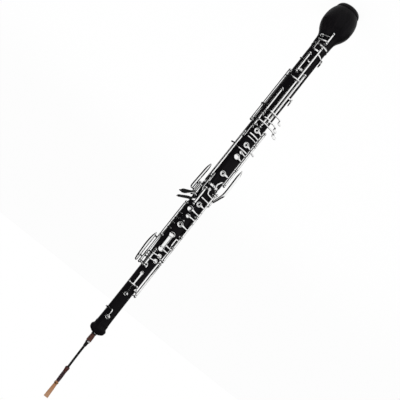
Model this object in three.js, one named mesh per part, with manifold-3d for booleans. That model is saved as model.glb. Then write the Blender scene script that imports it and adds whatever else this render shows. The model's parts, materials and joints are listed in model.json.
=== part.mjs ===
// English horn in five sections that slide apart on corked tenons: bell, lower joint, upper joint,
// crook and double reed. Each wooden joint carries its own keys, which turn on rods between posts.
// Millimetres, +Z towards the reed, origin at the middle of the bell's mouth, key side facing -Y.
import * as THREE from "three";
import { mergeVertices } from "three/addons/utils/BufferGeometryUtils.js";
import Module from "manifold-3d";

const wasm = await Module();
wasm.setup();

// Driving dimensions of the wooden sections
const bellHeight = 100.5;
const lowerLength = 338.8;
const upperLength = 333;
const bulbRadius = 32.2;
const lowerRadius = 16.6;
const upperRadius = 16;
const seatGap = 0.3;
const runningGap = 0.3;

// Bore and the tenons that join the sections
const boreAtReed = 3.2;
const boreAtMiddle = 5.6;
const boreAtBell = 8.6;
const lowerTenon = { radius: 12, length: 20, shoulder: 1.6, corkDepth: 1.3 };
const upperTenon = { radius: 11, length: 21, shoulder: 1.6, corkDepth: 1.3 };
const bellRing = { width: 3.8, wall: 1.5, bulge: 0.6 };
const lowerRing = { width: 5.4, wall: 1.5, bulge: 0.5 };

// Crook with its cork, collar and socket ring
const crookSocket = { radius: 4.6, wall: 0.9, depth: 12, lip: 3 };
const crook = {
  radius: 2.3, bore: 1.3, straight: 29.5, bendRadius: 90, bend: 22, turn: 3, tail: 19.5, steps: 9,
  collarLength: 11.5, collarRadius: 4.5, collarEdge: 2.3, corkShown: 14, corkRadius: 5, corkFoot: 4.3,
  corkEnd: 3.35,
};

// Double reed on its staple
const reed = {
  length: 64, sleeveBelow: 7, sleeveAbove: 4, sleeveRadius: 4.4, sleeveTop: 3.5, sleeveFlare: 1.5,
  windingLength: 21.5, windingRadius: 3.4, windingSwell: 0.2, lap: 8,
  throat: 2.75, waist: 3.1, shoulder: 1.9, tip: 4.4, blade: 0.6, tipBlade: 0.35, bladeGap: 0.3,
  stapleFoot: 2.25, stapleTop: 1.8, stapleWall: 0.5, stapleLength: 27,
  wireGap: 0.35, wire: 0.7, wireRise: 4,
};

// Hinges: tubes turn on rods or points between ball-headed posts
const tubeRadius = 2.1;
const rodRadius = 0.85;
const rodRise = 3.9;
const post = { ball: 2.6, stem: 1.25, foot: 1.7, depth: 1.1 };

// Arms, key cups with their pads, finger plates and the tone holes under them
const arm = { width: 2.9, thickness: 1.8, swing: 30, bridgeLift: 1.2 };
const cup = { pad: 1.6, height: 1.5, inset: 0.35, small: 4.7, vent: 4.2, tiny: 3.4, low: 7.6 };
const plate = { radius: 5.7, hole: 1.7, thickness: 1.7, waist: 7 };
const toneHole = { margin: 0.9, depth: 1, rimHeight: 0.8, rimWall: 1.1 };
const openTurn = 4.5;

// Touches for the fingers: width of the leaf, distance of its tip from the axis, and how far its face
// is turned from the outward direction towards the front
const sideOctaveTouch = { width: 6.5, reach: 27.7, faceTurn: -42 };
const lowBTouch = { width: 7, reach: 39.8, faceTurn: -45 };
const leftEFlatTouch = { width: 10, reach: 39.8, faceTurn: -26 };
const leftFTouch = { width: 6.5, reach: 28, faceTurn: -42 };
const trillTouch = { width: 6.5, reach: 29.8, faceTurn: 42 };
const lowCTouch = { width: 6, reach: 34, faceTurn: 20 };
const cSharpTouch = { width: 7, reach: 42, faceTurn: 20 };
const eFlatTouch = { width: 4.6, reach: 33, faceTurn: 20 };
const sideKnobReach = 27.5;

// Thumb rest and strap ring on the back of the lower joint
const rest = { length: 34, width: 13, thickness: 1.5, hookReach: 17, hookWidth: 15, hookThickness: 2.1 };
const strapRing = { radius: 5.4, wire: 1.2, drop: 4.4 };

// Number of sides of the round forms
const sides = {
  bell: 20, joint: 16, cup: 10, bed: 6, tube: 6, rod: 5, post: 5, hole: 5, crook: 8, small: 10,
};

// Cross sections of arms and touches, as shares of half the width and half the thickness
const armSectionShares = [[1, 1], [-1, 1], [-1, -1], [1, -1]];
const leafSectionShares = [[1, 0], [0.7, 1], [-0.7, 1], [-1, 0], [-0.7, -1], [0.7, -1]];

// Levels along the axis
const lowerBase = bellHeight + seatGap;
const lowerTop = lowerBase + lowerLength;
const upperBase = lowerTop + seatGap;
const upperTop = upperBase + upperLength;

const rad = THREE.MathUtils.degToRad;
const { lerp } = THREE.MathUtils;

// Materials
const finish = (color, roughness, metalness) =>
  new THREE.MeshStandardMaterial({ color, roughness, metalness });
const wood = finish(0x131214, 0.42, 0);
const silver = finish(0xc9cbcd, 0.2, 1);
const steel = finish(0x9a9c9e, 0.3, 1);
const cork = finish(0x9c6a45, 0.85, 0);
const sleeveRubber = finish(0x6b2f22, 0.6, 0);
const thread = finish(0x4a1220, 0.8, 0);
const cane = finish(0xcf9a5a, 0.6, 0);
const brass = finish(0xb99556, 0.3, 1);

const group = new THREE.Group();

// A closed geometry becomes a solid with its faces pointing out
function solid(geometry) {
  const bare = geometry.clone();
  bare.deleteAttribute("normal");
  bare.deleteAttribute("uv");
  const merged = mergeVertices(bare, 1e-4);
  const place = merged.attributes.position;
  const corners = Array.from(merged.index.array);
  const kept = [];
  let volume = 0;
  const [a, b, c] = [new THREE.Vector3(), new THREE.Vector3(), new THREE.Vector3()];
  for (let i = 0; i < corners.length; i += 3) {
    const [i0, i1, i2] = corners.slice(i, i + 3);
    if (i0 === i1 || i1 === i2 || i2 === i0) continue;
    kept.push(i0, i1, i2);
    a.fromBufferAttribute(place, i0);
    b.fromBufferAttribute(place, i1);
    c.fromBufferAttribute(place, i2);
    volume += a.dot(b.cross(c));
  }
  if (volume < 0) kept.reverse();
  return new wasm.Manifold(new wasm.Mesh({
    numProp: 3,
    vertProperties: new Float32Array(place.array),
    triVerts: new Uint32Array(kept),
  }));
}

function fuse(pieces) {
  return pieces.reduce((whole, piece) => whole.add(piece));
}

function cut(body, tools) {
  return tools.length ? body.subtract(fuse(tools)) : body;
}

function addMesh(name, shape, material) {
  const built = shape.getMesh();
  const geometry = new THREE.BufferGeometry();
  geometry.setAttribute("position", new THREE.BufferAttribute(new Float32Array(built.vertProperties), 3));
  geometry.setIndex(new THREE.BufferAttribute(new Uint32Array(built.triVerts), 1));
  geometry.computeVertexNormals();
  const mesh = new THREE.Mesh(geometry, material);
  mesh.name = name;
  group.add(mesh);
}

// Revolves a profile of [radius, height] about Z
function turned(profile, segments) {
  const points = profile.map(([r, z]) => new THREE.Vector2(r, z));
  return new THREE.LatheGeometry(points, segments).rotateX(Math.PI / 2);
}

// A ring-shaped profile that runs up the outside and down the inside
function turnedShell(outside, inside, segments) {
  const loop = [...outside, ...inside.toReversed()];
  return solid(turned([...loop, loop[0]], segments));
}

// Joins rings of points into one closed skin
function loft(rings) {
  const count = rings[0].length;
  const faces = [];
  for (let k = 0; k < rings.length - 1; k += 1) {
    for (let i = 0; i < count; i += 1) {
      const next = (i + 1) % count;
      const [p, q] = [k * count + i, k * count + next];
      faces.push(p, q, q + count, p, q + count, p + count);
    }
  }
  const last = (rings.length - 1) * count;
  for (let i = 1; i < count - 1; i += 1) {
    faces.push(0, i + 1, i, last, last + i, last + i + 1);
  }
  const geometry = new THREE.BufferGeometry().setFromPoints(rings.flat());
  geometry.setIndex(faces);
  return solid(geometry);
}

// A point at a height, an angle from the front towards +X and a radius from the axis
function polar(height, angle, radius) {
  return new THREE.Vector3(radius * Math.sin(rad(angle)), -radius * Math.cos(rad(angle)), height);
}

const outward = (angle) => polar(0, angle, 1);

// Stands a shape made along +Z on the side of the instrument, pointing outwards
function standing(geometry, height, angle, radius) {
  const out = outward(angle);
  const up = new THREE.Vector3(0, 0, 1);
  const across = new THREE.Vector3().crossVectors(up, out);
  const basis = new THREE.Matrix4().makeBasis(across, up, out).setPosition(polar(height, angle, radius));
  return geometry.clone().applyMatrix4(basis);
}

// A bar through stations of {at, width, thick, out}, widened at its corners to keep its width
function bar(stations, sectionShares) {
  const rings = stations.map(({ at, width, thick, out }, i) => {
    const ahead = stations[Math.min(i + 1, stations.length - 1)].at.clone().sub(at).normalize();
    const behind = at.clone().sub(stations[Math.max(i - 1, 0)].at).normalize();
    const along = ahead.clone().add(behind).normalize();
    const across = new THREE.Vector3().crossVectors(along, out).normalize();
    const up = new THREE.Vector3().crossVectors(across, along);
    const corner = Math.max(along.dot(ahead), along.dot(behind));
    return sectionShares.map(([w, t]) => at.clone()
      .addScaledVector(across, (w * width) / corner / 2)
      .addScaledVector(up, (t * thick) / 2));
  });
  return loft(rings);
}

function shareOf(outlineShares, share) {
  for (let i = 1; i < outlineShares.length; i += 1) {
    const [z0, r0] = outlineShares[i - 1];
    const [z1, r1] = outlineShares[i];
    if (share <= z1) return r0 + ((r1 - r0) * (share - z0)) / (z1 - z0);
  }
  return outlineShares.at(-1)[1];
}

// The three wooden sections: outline rows are [share of the length, share of the radius]
const bellOutlineShares = [
  [0, 0.61], [0.012, 0.665], [0.032, 0.715], [0.057, 0.755], [0.08, 0.772], [0.099, 0.75], [0.114, 0.8],
  [0.164, 0.875], [0.227, 0.945], [0.31, 0.99], [0.394, 1], [0.478, 0.98], [0.551, 0.92], [0.624, 0.82],
  [0.681, 0.712], [0.734, 0.628], [0.781, 0.583], [0.833, 0.56], [1, 0.55],
];
const bellCavityShares = [
  [0, 0.543], [0.045, 0.55], [0.112, 0.62], [0.237, 0.76], [0.352, 0.807], [0.457, 0.77], [0.572, 0.6],
  [0.676, 0.34], [0.781, 0.267],
];
const lowerOutlineShares = [[0, 0.99], [0.28, 1], [0.5, 0.965], [0.85, 0.985], [1, 0.985]];
const upperOutlineShares = [
  [0, 1], [0.2, 0.975], [0.32, 0.965], [0.413, 0.869], [0.494, 0.785], [0.575, 0.72], [0.85, 0.725],
  [0.925, 0.75], [0.936, 0.79], [0.95, 0.79], [0.956, 0.83], [0.966, 0.965], [0.977, 0.94],
  [0.988, 0.83], [1, 0.44],
];

const makeSection = (base, length, radius, outlineShares, segments) =>
  ({ base, length, radius, outlineShares, segments, posts: [], beds: [], rims: [], holes: [] });
const bell = makeSection(0, bellHeight, bulbRadius, bellOutlineShares, sides.bell);
const lower = makeSection(lowerBase, lowerLength, lowerRadius, lowerOutlineShares, sides.joint);
const upper = makeSection(upperBase, upperLength, upperRadius, upperOutlineShares, sides.joint);

const heightAt = (section, share) => section.base + section.length * share;
const woodRadius = (section, share) => section.radius * shareOf(section.outlineShares, share);

// Hinge lines: section, angle, where the wood is widest under them, and their posts along the section
function hingeLine(section, angle, widestShare, postShares, rod = false) {
  const radius = woodRadius(section, widestShare) + rodRise;
  const line = { section, angle, radius, postShares, rod };
  for (const share of postShares) addPost(line, share);
  return line;
}

function addPost(line, share) {
  const foot = woodRadius(line.section, share) - post.depth;
  const tall = line.radius - foot;
  const profile = [
    [0, 0], [post.foot, 0], [post.stem, tall - post.ball], [post.ball, tall], [0, tall + post.ball],
  ];
  line.section.posts.push(
    solid(standing(turned(profile, sides.post), heightAt(line.section, share), line.angle, foot)));
}

// A hinge tube between two places of its line, clear of posts and neighbours
function hingeTube(line, [fromShare, toShare]) {
  const trim = (share) => (line.postShares.includes(share) ? post.ball + runningGap : runningGap / 2);
  const low = heightAt(line.section, fromShare) + trim(fromShare);
  const high = heightAt(line.section, toShare) - trim(toShare);
  return cylinderOn(line, low, high, tubeRadius, sides.tube);
}

function cylinderOn(line, low, high, radius, segments) {
  const centre = polar((low + high) / 2, line.angle, line.radius);
  return solid(new THREE.CylinderGeometry(radius, radius, high - low, segments)
    .rotateX(Math.PI / 2).translate(centre.x, centre.y, centre.z));
}

// The rod of a line, or the bore for it, from its lowest post to its highest
function rodOf(line, radius) {
  const [low, high] = [Math.min(...line.postShares), Math.max(...line.postShares)];
  return cylinderOn(line, heightAt(line.section, low) - post.ball,
    heightAt(line.section, high) + post.ball, radius, sides.rod);
}

// A place over the wood; by default on the hinge line itself
function on(line, share, angle = line.angle, rise = 0) {
  return { share, angle, radius: line.radius + rise };
}

// A flat bed with a raised rim and a hole into the bore; returns the radius of its rim
function addToneHole(section, share, angle, cupRadius) {
  const surface = woodRadius(section, share);
  const height = heightAt(section, share);
  const seat = surface - toneHole.depth;
  const drum = (radius, from, to, segments) => solid(standing(
    turned([[0, 0], [radius, 0], [radius, to - from], [0, to - from]], segments), height, angle, from));
  section.beds.push(drum(cupRadius + toneHole.margin, seat, surface + cupRadius, sides.bed));
  section.rims.push(drum(cupRadius / 2 + toneHole.rimWall, seat - toneHole.rimHeight,
    seat + toneHole.rimHeight, sides.hole));
  section.holes.push(drum(cupRadius / 2, 0, surface + cupRadius, sides.hole));
  return seat + toneHole.rimHeight;
}

// A pad in its cup, shut over its tone hole; a plate is a flat cup, some with a hole for the finger
const cupCrownShare = 0.6;
function cupOver(section, { share, angle, radius, flat = false, holed = false }) {
  const bottom = addToneHole(section, share, angle, radius) + seatGap;
  const top = cup.pad + cup.height;
  const crown = radius * (flat ? 1 : cupCrownShare) - cup.inset;
  const height = heightAt(section, share);
  const profile = [[0, 0], [radius - cup.inset, 0], [radius, cup.pad], [crown, top], [0, top]];
  const whole = solid(standing(turned(profile, sides.cup), height, angle, bottom));
  const pit = [[0, cup.pad], [plate.hole, cup.pad], [plate.hole, 2 * top], [0, 2 * top]];
  const pitTools = holed ? [solid(standing(turned(pit, sides.hole), height, angle, bottom))] : [];
  const shape = cut(whole, pitTools);
  return { shape, share, angle, radius: bottom + cup.pad + cup.height / 2 };
}

// An arm over the wood through a list of places
function armThrough(section, places) {
  const stations = [places[0]];
  for (let i = 1; i < places.length; i += 1) {
    const [from, to] = [places[i - 1], places[i]];
    const steps = Math.max(1, Math.ceil(Math.abs(to.angle - from.angle) / arm.swing));
    for (let k = 1; k <= steps; k += 1) {
      stations.push({
        share: lerp(from.share, to.share, k / steps),
        angle: lerp(from.angle, to.angle, k / steps),
        radius: lerp(from.radius, to.radius, k / steps),
      });
    }
  }
  return bar(stations.map(({ share, angle, radius }) => ({
    at: polar(heightAt(section, share), angle, radius),
    width: arm.width, thick: arm.thickness, out: outward(angle),
  })), armSectionShares);
}

// A flat finger plate with round ends between two places of one angle
function fingerPlate(section, fromShare, toShare, angle, halfWidth, bottom) {
  const [low, high] = [heightAt(section, fromShare), heightAt(section, toShare)];
  const shape = new THREE.Shape();
  shape.absarc(0, (high - low) / 2, halfWidth, 0, Math.PI, false);
  shape.absarc(0, (low - high) / 2, halfWidth, Math.PI, 2 * Math.PI, false);
  const geometry = new THREE.ExtrudeGeometry(shape, {
    depth: plate.thickness, bevelEnabled: false, curveSegments: sides.cup / 2,
  });
  return solid(standing(geometry, (low + high) / 2, angle, bottom));
}

// A touch: rows are [share of the section, angle, share of the reach, share of the width]
function leaf(section, touch, rowShares) {
  return bar(rowShares.map(([share, angle, radiusShare, widthShare]) => ({
    at: polar(heightAt(section, share), angle, touch.reach * radiusShare),
    width: touch.width * widthShare,
    thick: plate.thickness,
    out: outward(angle + touch.faceTurn),
  })), leafSectionShares);
}

// Turns a key about its hinge line
function swing(shape, line, degrees) {
  const hinge = polar(0, line.angle, line.radius);
  const turn = new THREE.Matrix4().makeTranslation(hinge.x, hinge.y, 0)
    .multiply(new THREE.Matrix4().makeRotationZ(rad(degrees)))
    .multiply(new THREE.Matrix4().makeTranslation(-hinge.x, -hinge.y, 0));
  return shape.transform(Array.from(turn.elements));
}

// Joins a key's pieces. It is drawn with its pad shut; a key that stands open is then swung off its seat.
const keys = [];
function addKey(name, line, pieces, open = 0) {
  const shape = fuse(pieces.map((piece) => piece.shape ?? piece));
  const bored = line.rod ? shape.subtract(rodOf(line, rodRadius + runningGap)) : shape;
  keys.push({ name, shape: open ? swing(bored, line, -open * openTurn) : bored });
}

// A key of one tube, one cup and the arm between them, with any further pieces
function cupKey(name, line, spanShares, armShare, place, { open = 0, more = [] } = {}) {
  const pad = cupOver(line.section, place);
  addKey(name, line, [
    hingeTube(line, spanShares), pad, armThrough(line.section, [on(line, armShare), pad]), ...more,
  ], open);
}

// Keys of the upper joint
const leftStack = hingeLine(upper, -57, 0, [0.029, 0.185, 0.323, 0.398, 0.485], true);
const rightRod = hingeLine(upper, 61, 0.149, [0.149, 0.371, 0.497, 0.557]);
const frontRod = hingeLine(upper, 23, 0.456, [0.456, 0.56]);
const octaveRod = hingeLine(upper, 150, 0.73, [0.587, 0.881]);
const sideRod = hingeLine(upper, 110, 0.371, [0.371, 0.545]);
const leftTrillRod = hingeLine(upper, -82, 0.5, [0.5, 0.719]);
const pinkyFrontRod = hingeLine(upper, 14, 0, [0.026, 0.138]);
const pinkyRightRod = hingeLine(upper, 45, 0, [0.032, 0.088]);
const rightTouchRod = hingeLine(upper, 100, 0, [0.01, 0.085]);
const leftTouchRod = hingeLine(upper, -100, 0, [0.01, 0.085]);

function firstOctaveKey() {
  const line = octaveRod;
  const pad = cupOver(upper, { share: 0.893, angle: 0, radius: cup.small });
  const elbow = { share: 0.849, angle: 0, radius: pad.radius };
  const round = armThrough(upper, [on(line, elbow.share), elbow, pad]);
  const thumbPlace = on(line, 0.66, 180, arm.thickness);
  const thumbArm = armThrough(upper, [on(line, thumbPlace.share), thumbPlace]);
  const thumb = fingerPlate(upper, 0.6, 0.67, 180, cup.small, thumbPlace.radius - plate.thickness / 2);
  addKey("first_octave_key", line, [hingeTube(line, [0.587, 0.881]), pad, round, thumbArm, thumb]);
}

// This key rocks about an axis that runs across the instrument
function secondOctaveKey() {
  const share = 0.677;
  const pad = cupOver(upper, { share: 0.74, angle: 0, radius: cup.vent });
  const axis = { share, angle: 0, radius: woodRadius(upper, share) + rodRise };
  const halfTube = 2 * tubeRadius;
  const tube = solid(new THREE.CylinderGeometry(tubeRadius, tubeRadius, 2 * halfTube, sides.tube)
    .rotateZ(Math.PI / 2).translate(0, -axis.radius, heightAt(upper, share)));
  const foot = { share: 0.605, angle: 0, radius: axis.radius - arm.thickness / 2 };
  const end = fingerPlate(upper, 0.598, foot.share, 0, arm.width, foot.radius - plate.thickness / 2);
  const side = Math.asin((halfTube + runningGap + post.ball) / axis.radius);
  for (const turn of [-side, side]) {
    const angle = THREE.MathUtils.radToDeg(turn);
    addPost({ section: upper, angle, radius: axis.radius / Math.cos(side) }, share);
  }
  addKey("second_octave_key", {}, [tube, pad, armThrough(upper, [pad, axis, foot]), end]);
}

function octaveLink() {
  const line = frontRod;
  const hook = armThrough(upper, [
    on(line, 0.543), on(line, 0.547, 5, -arm.thickness), on(line, 0.564, 5, -arm.thickness)]);
  addKey("octave_link", line, [hingeTube(line, [0.456, 0.56]), hook]);
}

// A trill key's arm climbs over the front rod to its cup
function trillKey(name, share, spanShares, padShare) {
  const pad = cupOver(upper, { share: padShare, angle: -22.6, radius: cup.small });
  const bridge = on(frontRod, share, frontRod.angle, tubeRadius + rodRise / 2);
  addKey(name, rightRod, [
    hingeTube(rightRod, spanShares), pad, armThrough(upper, [on(rightRod, share), bridge, pad]),
  ]);
}

function sideOctaveLever() {
  const line = sideRod;
  const touch = sideOctaveTouch;
  const blade = leaf(upper, touch, [
    [0.56, 74, 0.9, 0.5], [0.545, 74, 0.93, 0.9], [0.47, 74, 1, 1], [0.4, 74, 0.98, 1], [0.38, 74, 0.95, 0.5]]);
  const arms = [0.525, 0.395].map((share) =>
    armThrough(upper, [on(line, share), { share, angle: 75, radius: touch.reach - plate.thickness }]));
  addKey("side_octave_lever", line, [hingeTube(line, [0.371, 0.545]), blade, ...arms]);
}

// The half-hole plate: a cup with a long plate above it for the first finger to roll onto
function halfHoleKey() {
  const line = leftStack;
  const pad = cupOver(upper, { share: 0.342, angle: 2, radius: plate.radius, flat: true });
  const under = pad.radius - plate.thickness / 2;
  const farPlate = fingerPlate(upper, 0.436, 0.436, 2, plate.radius - cup.inset, under);
  const waist = fingerPlate(upper, 0.342, 0.436, 2, plate.waist / 2, under);
  const arms = [0.409, 0.436].map((share) =>
    armThrough(upper, [on(line, share), { share, angle: 0, radius: pad.radius }]));
  addKey("half_hole_key", line, [hingeTube(line, [0.398, 0.485]), pad, farPlate, waist, ...arms], 1);
}

function upperLinkKey() {
  const line = leftStack;
  const hook = armThrough(upper, [on(line, 0.347), on(line, 0.347, -31), on(line, 0.39, -31)]);
  addKey("upper_link_key", line, [hingeTube(line, [0.323, 0.398]), hook], 1);
}

// Joins the left stack to the arch that comes up from the lower joint
function leftLinkKey() {
  const line = leftStack;
  const pad = cupOver(upper, { share: 0.022, angle: -2, radius: cup.tiny });
  const across = armThrough(upper, [on(line, 0.084), on(line, 0.084, 0)]);
  const down = armThrough(upper, [on(line, 0.05), on(line, 0.05, -12), pad]);
  const hook = armThrough(upper, [on(line, 0.05), on(line, 0.01, -29, arm.thickness * 2)]);
  addKey("left_link_key", line, [hingeTube(line, [0.029, 0.1]), pad, across, down, hook], 1);
}

function bFlatLink() {
  const line = rightRod;
  const endShares = [[0.317, 0.317, 29], [0.284, 0.284, 31], [0.219, 0.219, 28], [0.254, 0.245, -4]];
  const arms = endShares.map(([start, share, angle]) =>
    armThrough(upper, [on(line, start), on(line, share, angle)]));
  addKey("b_flat_link", line, [hingeTube(line, [0.149, 0.371]), ...arms], -1);
}

// The low B lever's tail passes its post and reaches down over the lower joint
function lowBLever() {
  const line = pinkyFrontRod;
  const blade = leaf(upper, lowBTouch, [
    [0.109, 14, 0.5, 0.6], [0.12, 28, 0.58, 0.8], [0.126, 48, 0.66, 1], [0.136, 62, 0.78, 1.1],
    [0.15, 72, 0.97, 1], [0.154, 73, 1.01, 0.4]]);
  const tail = armThrough(upper, [
    on(line, 0.046), on(line, 0.046, 27, arm.thickness), on(line, -0.03, 27, rodRise)]);
  addKey("low_b_lever", line, [hingeTube(line, [0.026, 0.138]), blade, tail]);
}

function leftEFlatLever() {
  const line = pinkyRightRod;
  const blade = leaf(upper, leftEFlatTouch, [
    [0.069, 45, 0.5, 0.6], [0.088, 58, 0.64, 0.7], [0.105, 70, 0.82, 1.2], [0.113, 75, 0.96, 1.2],
    [0.118, 77, 1.04, 0.5]]);
  addKey("left_e_flat_lever", line, [hingeTube(line, [0.032, 0.088]), blade]);
}

function sideTouch(name, line, touch, rowShares, armShares, edge) {
  const arms = armShares.map((share) => armThrough(upper, [on(line, share), { share, ...edge }]));
  addKey(name, line, [hingeTube(line, [0.01, 0.085]), leaf(upper, touch, rowShares), ...arms]);
}

firstOctaveKey();
secondOctaveKey();
octaveLink();
trillKey("upper_trill_key", 0.515, [0.497, 0.557], 0.509);
trillKey("lower_trill_key", 0.482, [0.371, 0.497], 0.474);
cupKey("high_trill_key", leftTrillRod, [0.5, 0.719], 0.705, { share: 0.698, angle: -50, radius: cup.vent });
sideOctaveLever();
halfHoleKey();
upperLinkKey();
cupKey("a_plate_key", leftStack, [0.225, 0.323], 0.271,
  { share: 0.271, angle: 3, radius: plate.radius, flat: true, holed: true }, { open: 1 });
cupKey("b_flat_vent_key", leftStack, [0.185, 0.225], 0.205,
  { share: 0.209, angle: -2, radius: cup.vent, flat: true }, { open: 1 });
cupKey("g_plate_key", leftStack, [0.149, 0.185], 0.172,
  { share: 0.17, angle: 13, radius: plate.radius, flat: true }, { open: 1 });
cupKey("g_sharp_key", leftStack, [0.1, 0.149], 0.122,
  { share: 0.122, angle: -14, radius: plate.radius - cup.inset, flat: true, holed: true });
leftLinkKey();
bFlatLink();
lowBLever();
leftEFlatLever();
sideTouch("left_f_lever", rightTouchRod, leftFTouch, [
  [0.066, 76, 0.98, 0.5], [0.055, 76, 1, 1], [0, 76, 0.98, 1], [-0.07, 76, 0.94, 1], [-0.1, 76, 0.92, 0.5]],
[0.022, 0.062], { angle: 78, radius: leftFTouch.reach - plate.thickness / 2 });
sideTouch("right_trill_lever", leftTouchRod, trillTouch, [
  [0.055, -78, 0.74, 0.6], [0.02, -76, 0.88, 0.8], [-0.02, -76, 1, 1], [-0.1, -76, 1, 1],
  [-0.17, -76, 0.97, 1], [-0.178, -76, 0.96, 0.5]],
[0.05], { angle: -80, radius: leftTouchRod.radius + arm.thickness });

// Keys of the lower joint
const rightStack = hingeLine(lower, -74, 0, [0.583, 0.675, 0.845, 0.952], true);
const rightLongRod = hingeLine(lower, 38.5, 0, [0.648, 0.952]);
const shortTransferRod = hingeLine(lower, 24, 0, [0.51, 0.6]);
const lowCRod = hingeLine(lower, -30, 0, [0.191, 0.54]);
const lowSharpRod = hingeLine(lower, 66.5, 0, [0.208, 0.565]);
const eFlatRod = hingeLine(lower, 23, 0, [0.33, 0.494]);
const lowBRod = hingeLine(lower, -10, 0, [0.012, 0.58]);
const lowVentRod = hingeLine(lower, 24, 0, [0.07, 0.2]);

// The arch of the F sharp key reaches up past its post to the upper joint
function fSharpKey() {
  const line = rightStack;
  const arch = armThrough(lower, [
    on(line, 0.935), on(line, 0.953, -28, arm.thickness), on(line, 0.979, -17, arm.thickness),
    on(line, 1.009, -24, arm.thickness / 2)]);
  cupKey("f_sharp_key", line, [0.845, 0.952], 0.905,
    { share: 0.91, angle: -7, radius: plate.radius, flat: true, holed: true }, { open: 1, more: [arch] });
}

function eKey() {
  const disc = cupOver(lower, { share: 0.757, angle: -13.5, radius: cup.tiny, flat: true });
  cupKey("e_key", rightStack, [0.72, 0.845], 0.795,
    { share: 0.79, angle: -10, radius: plate.radius, flat: true }, { open: 1, more: [disc,
      armThrough(lower, [on(rightStack, 0.757), disc])] });
}

function dKey() {
  const line = rightStack;
  const knob = armThrough(lower, [on(line, 0.713), { share: 0.718, angle: -88, radius: sideKnobReach }]);
  cupKey("d_key", line, [0.675, 0.72], 0.71,
    { share: 0.707, angle: -11, radius: plate.radius, flat: true, holed: true }, { open: 1, more: [knob] });
}

// Carries the left little finger's low B touch down the lower joint, in two steps
function lowBTransferKeys() {
  const first = rightLongRod;
  const top = armThrough(lower, [on(first, 0.935), on(first, 0.935, 24), on(first, 0.985, 24)]);
  const cross = armThrough(lower, [on(first, 0.741), on(first, 0.741, -40)]);
  const knob = armThrough(lower, [on(first, 0.73), on(first, 0.73, 68, arm.thickness)]);
  const low = armThrough(lower, [
    on(first, 0.675), on(first, 0.675, 24, rodRise), on(first, 0.6, 24, rodRise),
    on(first, 0.583, 10, rodRise)]);
  addKey("low_b_transfer_key", first, [hingeTube(first, [0.648, 0.952]), top, cross, knob, low]);
  const second = shortTransferRod;
  const tab = armThrough(lower, [on(second, 0.583), on(second, 0.583, 8)]);
  const reach = armThrough(lower, [
    on(second, 0.526), on(second, 0.524, 4, rodRise), on(second, 0.52, -19, rodRise + arm.thickness / 2)]);
  addKey("low_b_second_transfer_key", second, [hingeTube(second, [0.51, 0.6]), tab, reach]);
}

// A little-finger touch: crosses above the tubes from its own line, then widens to a leaf
const crossingAngle = -48;
const climbShare = 0.35;
function littleTouch(line, share, rise, touch) {
  const clear = 3 * tubeRadius;
  const clearShare = (line.radius + clear) / touch.reach;
  const wide = line.angle - crossingAngle > arm.swing;
  const middle = wide ? [on(line, share, lerp(line.angle, crossingAngle, climbShare), clear)] : [];
  return [
    armThrough(lower, [on(line, share), ...middle, on(line, share, crossingAngle, clear)]),
    leaf(lower, touch, [
      [share, crossingAngle + 2, clearShare, 0.45], [share + rise * 0.2, -58, 0.5 + clearShare / 2, 0.6],
      [share + rise * 0.7, -68, 0.86, 1], [share + rise, -71, 0.97, 1], [share + rise * 1.1, -72, 1, 0.5]]),
  ];
}

// The low B key lifts the low vent and the bell vent as it shuts
function lowBKey() {
  const line = lowBRod;
  const tab = armThrough(lower, [on(line, 0.52), on(line, 0.52, -19)]);
  const lift = armThrough(lower, [on(line, 0.117), on(line, 0.117, 9)]);
  const bridge = armThrough(lower, [
    on(line, 0.036), on(line, 0.036, 28, arm.bridgeLift), on(line, -0.026, 28, arm.bridgeLift)]);
  cupKey("low_b_key", line, [0.012, 0.58], 0.05, { share: 0.064, angle: -97, radius: cup.low },
    { open: -1, more: [tab, lift, bridge] });
}

// The E flat key's cup lies beyond the C sharp tube
function eFlatKey() {
  const line = eFlatRod;
  const pad = cupOver(lower, { share: 0.455, angle: 112, radius: cup.small });
  const over = armThrough(lower, [on(line, 0.455), on(line, 0.455, lowSharpRod.angle, rodRise), pad]);
  addKey("e_flat_key", line,
    [hingeTube(line, [0.33, 0.494]), pad, over, ...littleTouch(line, 0.478, 0.018, eFlatTouch)]);
}

function lowVentKey() {
  const line = lowVentRod;
  const ball = armThrough(lower, [on(line, 0.117), on(line, 0.117, 8, rodRise / 2 + tubeRadius / 2)]);
  const side = armThrough(lower, [on(line, 0.117), on(line, 0.117, 56)]);
  cupKey("low_vent_key", line, [0.07, 0.2], 0.183, { share: 0.18, angle: 8, radius: cup.tiny },
    { more: [ball, side] });
}

fSharpKey();
eKey();
dKey();
cupKey("f_vent_key", rightStack, [0.583, 0.675], 0.61,
  { share: 0.607, angle: -8, radius: plate.radius, flat: true, holed: true }, { open: 1 });
lowBTransferKeys();
cupKey("low_c_key", lowCRod, [0.191, 0.54], 0.349, { share: 0.349, angle: -95, radius: cup.low },
  { open: -1.5, more: littleTouch(lowCRod, 0.524, 0.02, lowCTouch) });
cupKey("c_sharp_key", lowSharpRod, [0.208, 0.565], 0.3, { share: 0.3, angle: 128, radius: cup.low },
  { more: littleTouch(lowSharpRod, 0.553, 0.022, cSharpTouch) });
lowBKey();
eFlatKey();
lowVentKey();

// Bell key
const bellRod = hingeLine(bell, -10, 0.728, [0.687, 0.927]);
cupKey("bell_vent_key", bellRod, [0.687, 0.927], 0.781, { share: 0.812, angle: 36, radius: cup.vent },
  { more: [armThrough(bell, [on(bellRod, 0.88), on(bellRod, 0.922, 30)])] });

// Steel rods through the two stacks
for (const [name, line] of [["left_stack_rod", leftStack], ["right_stack_rod", rightStack]]) {
  keys.push({ name, shape: rodOf(line, rodRadius), material: steel });
}

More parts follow.
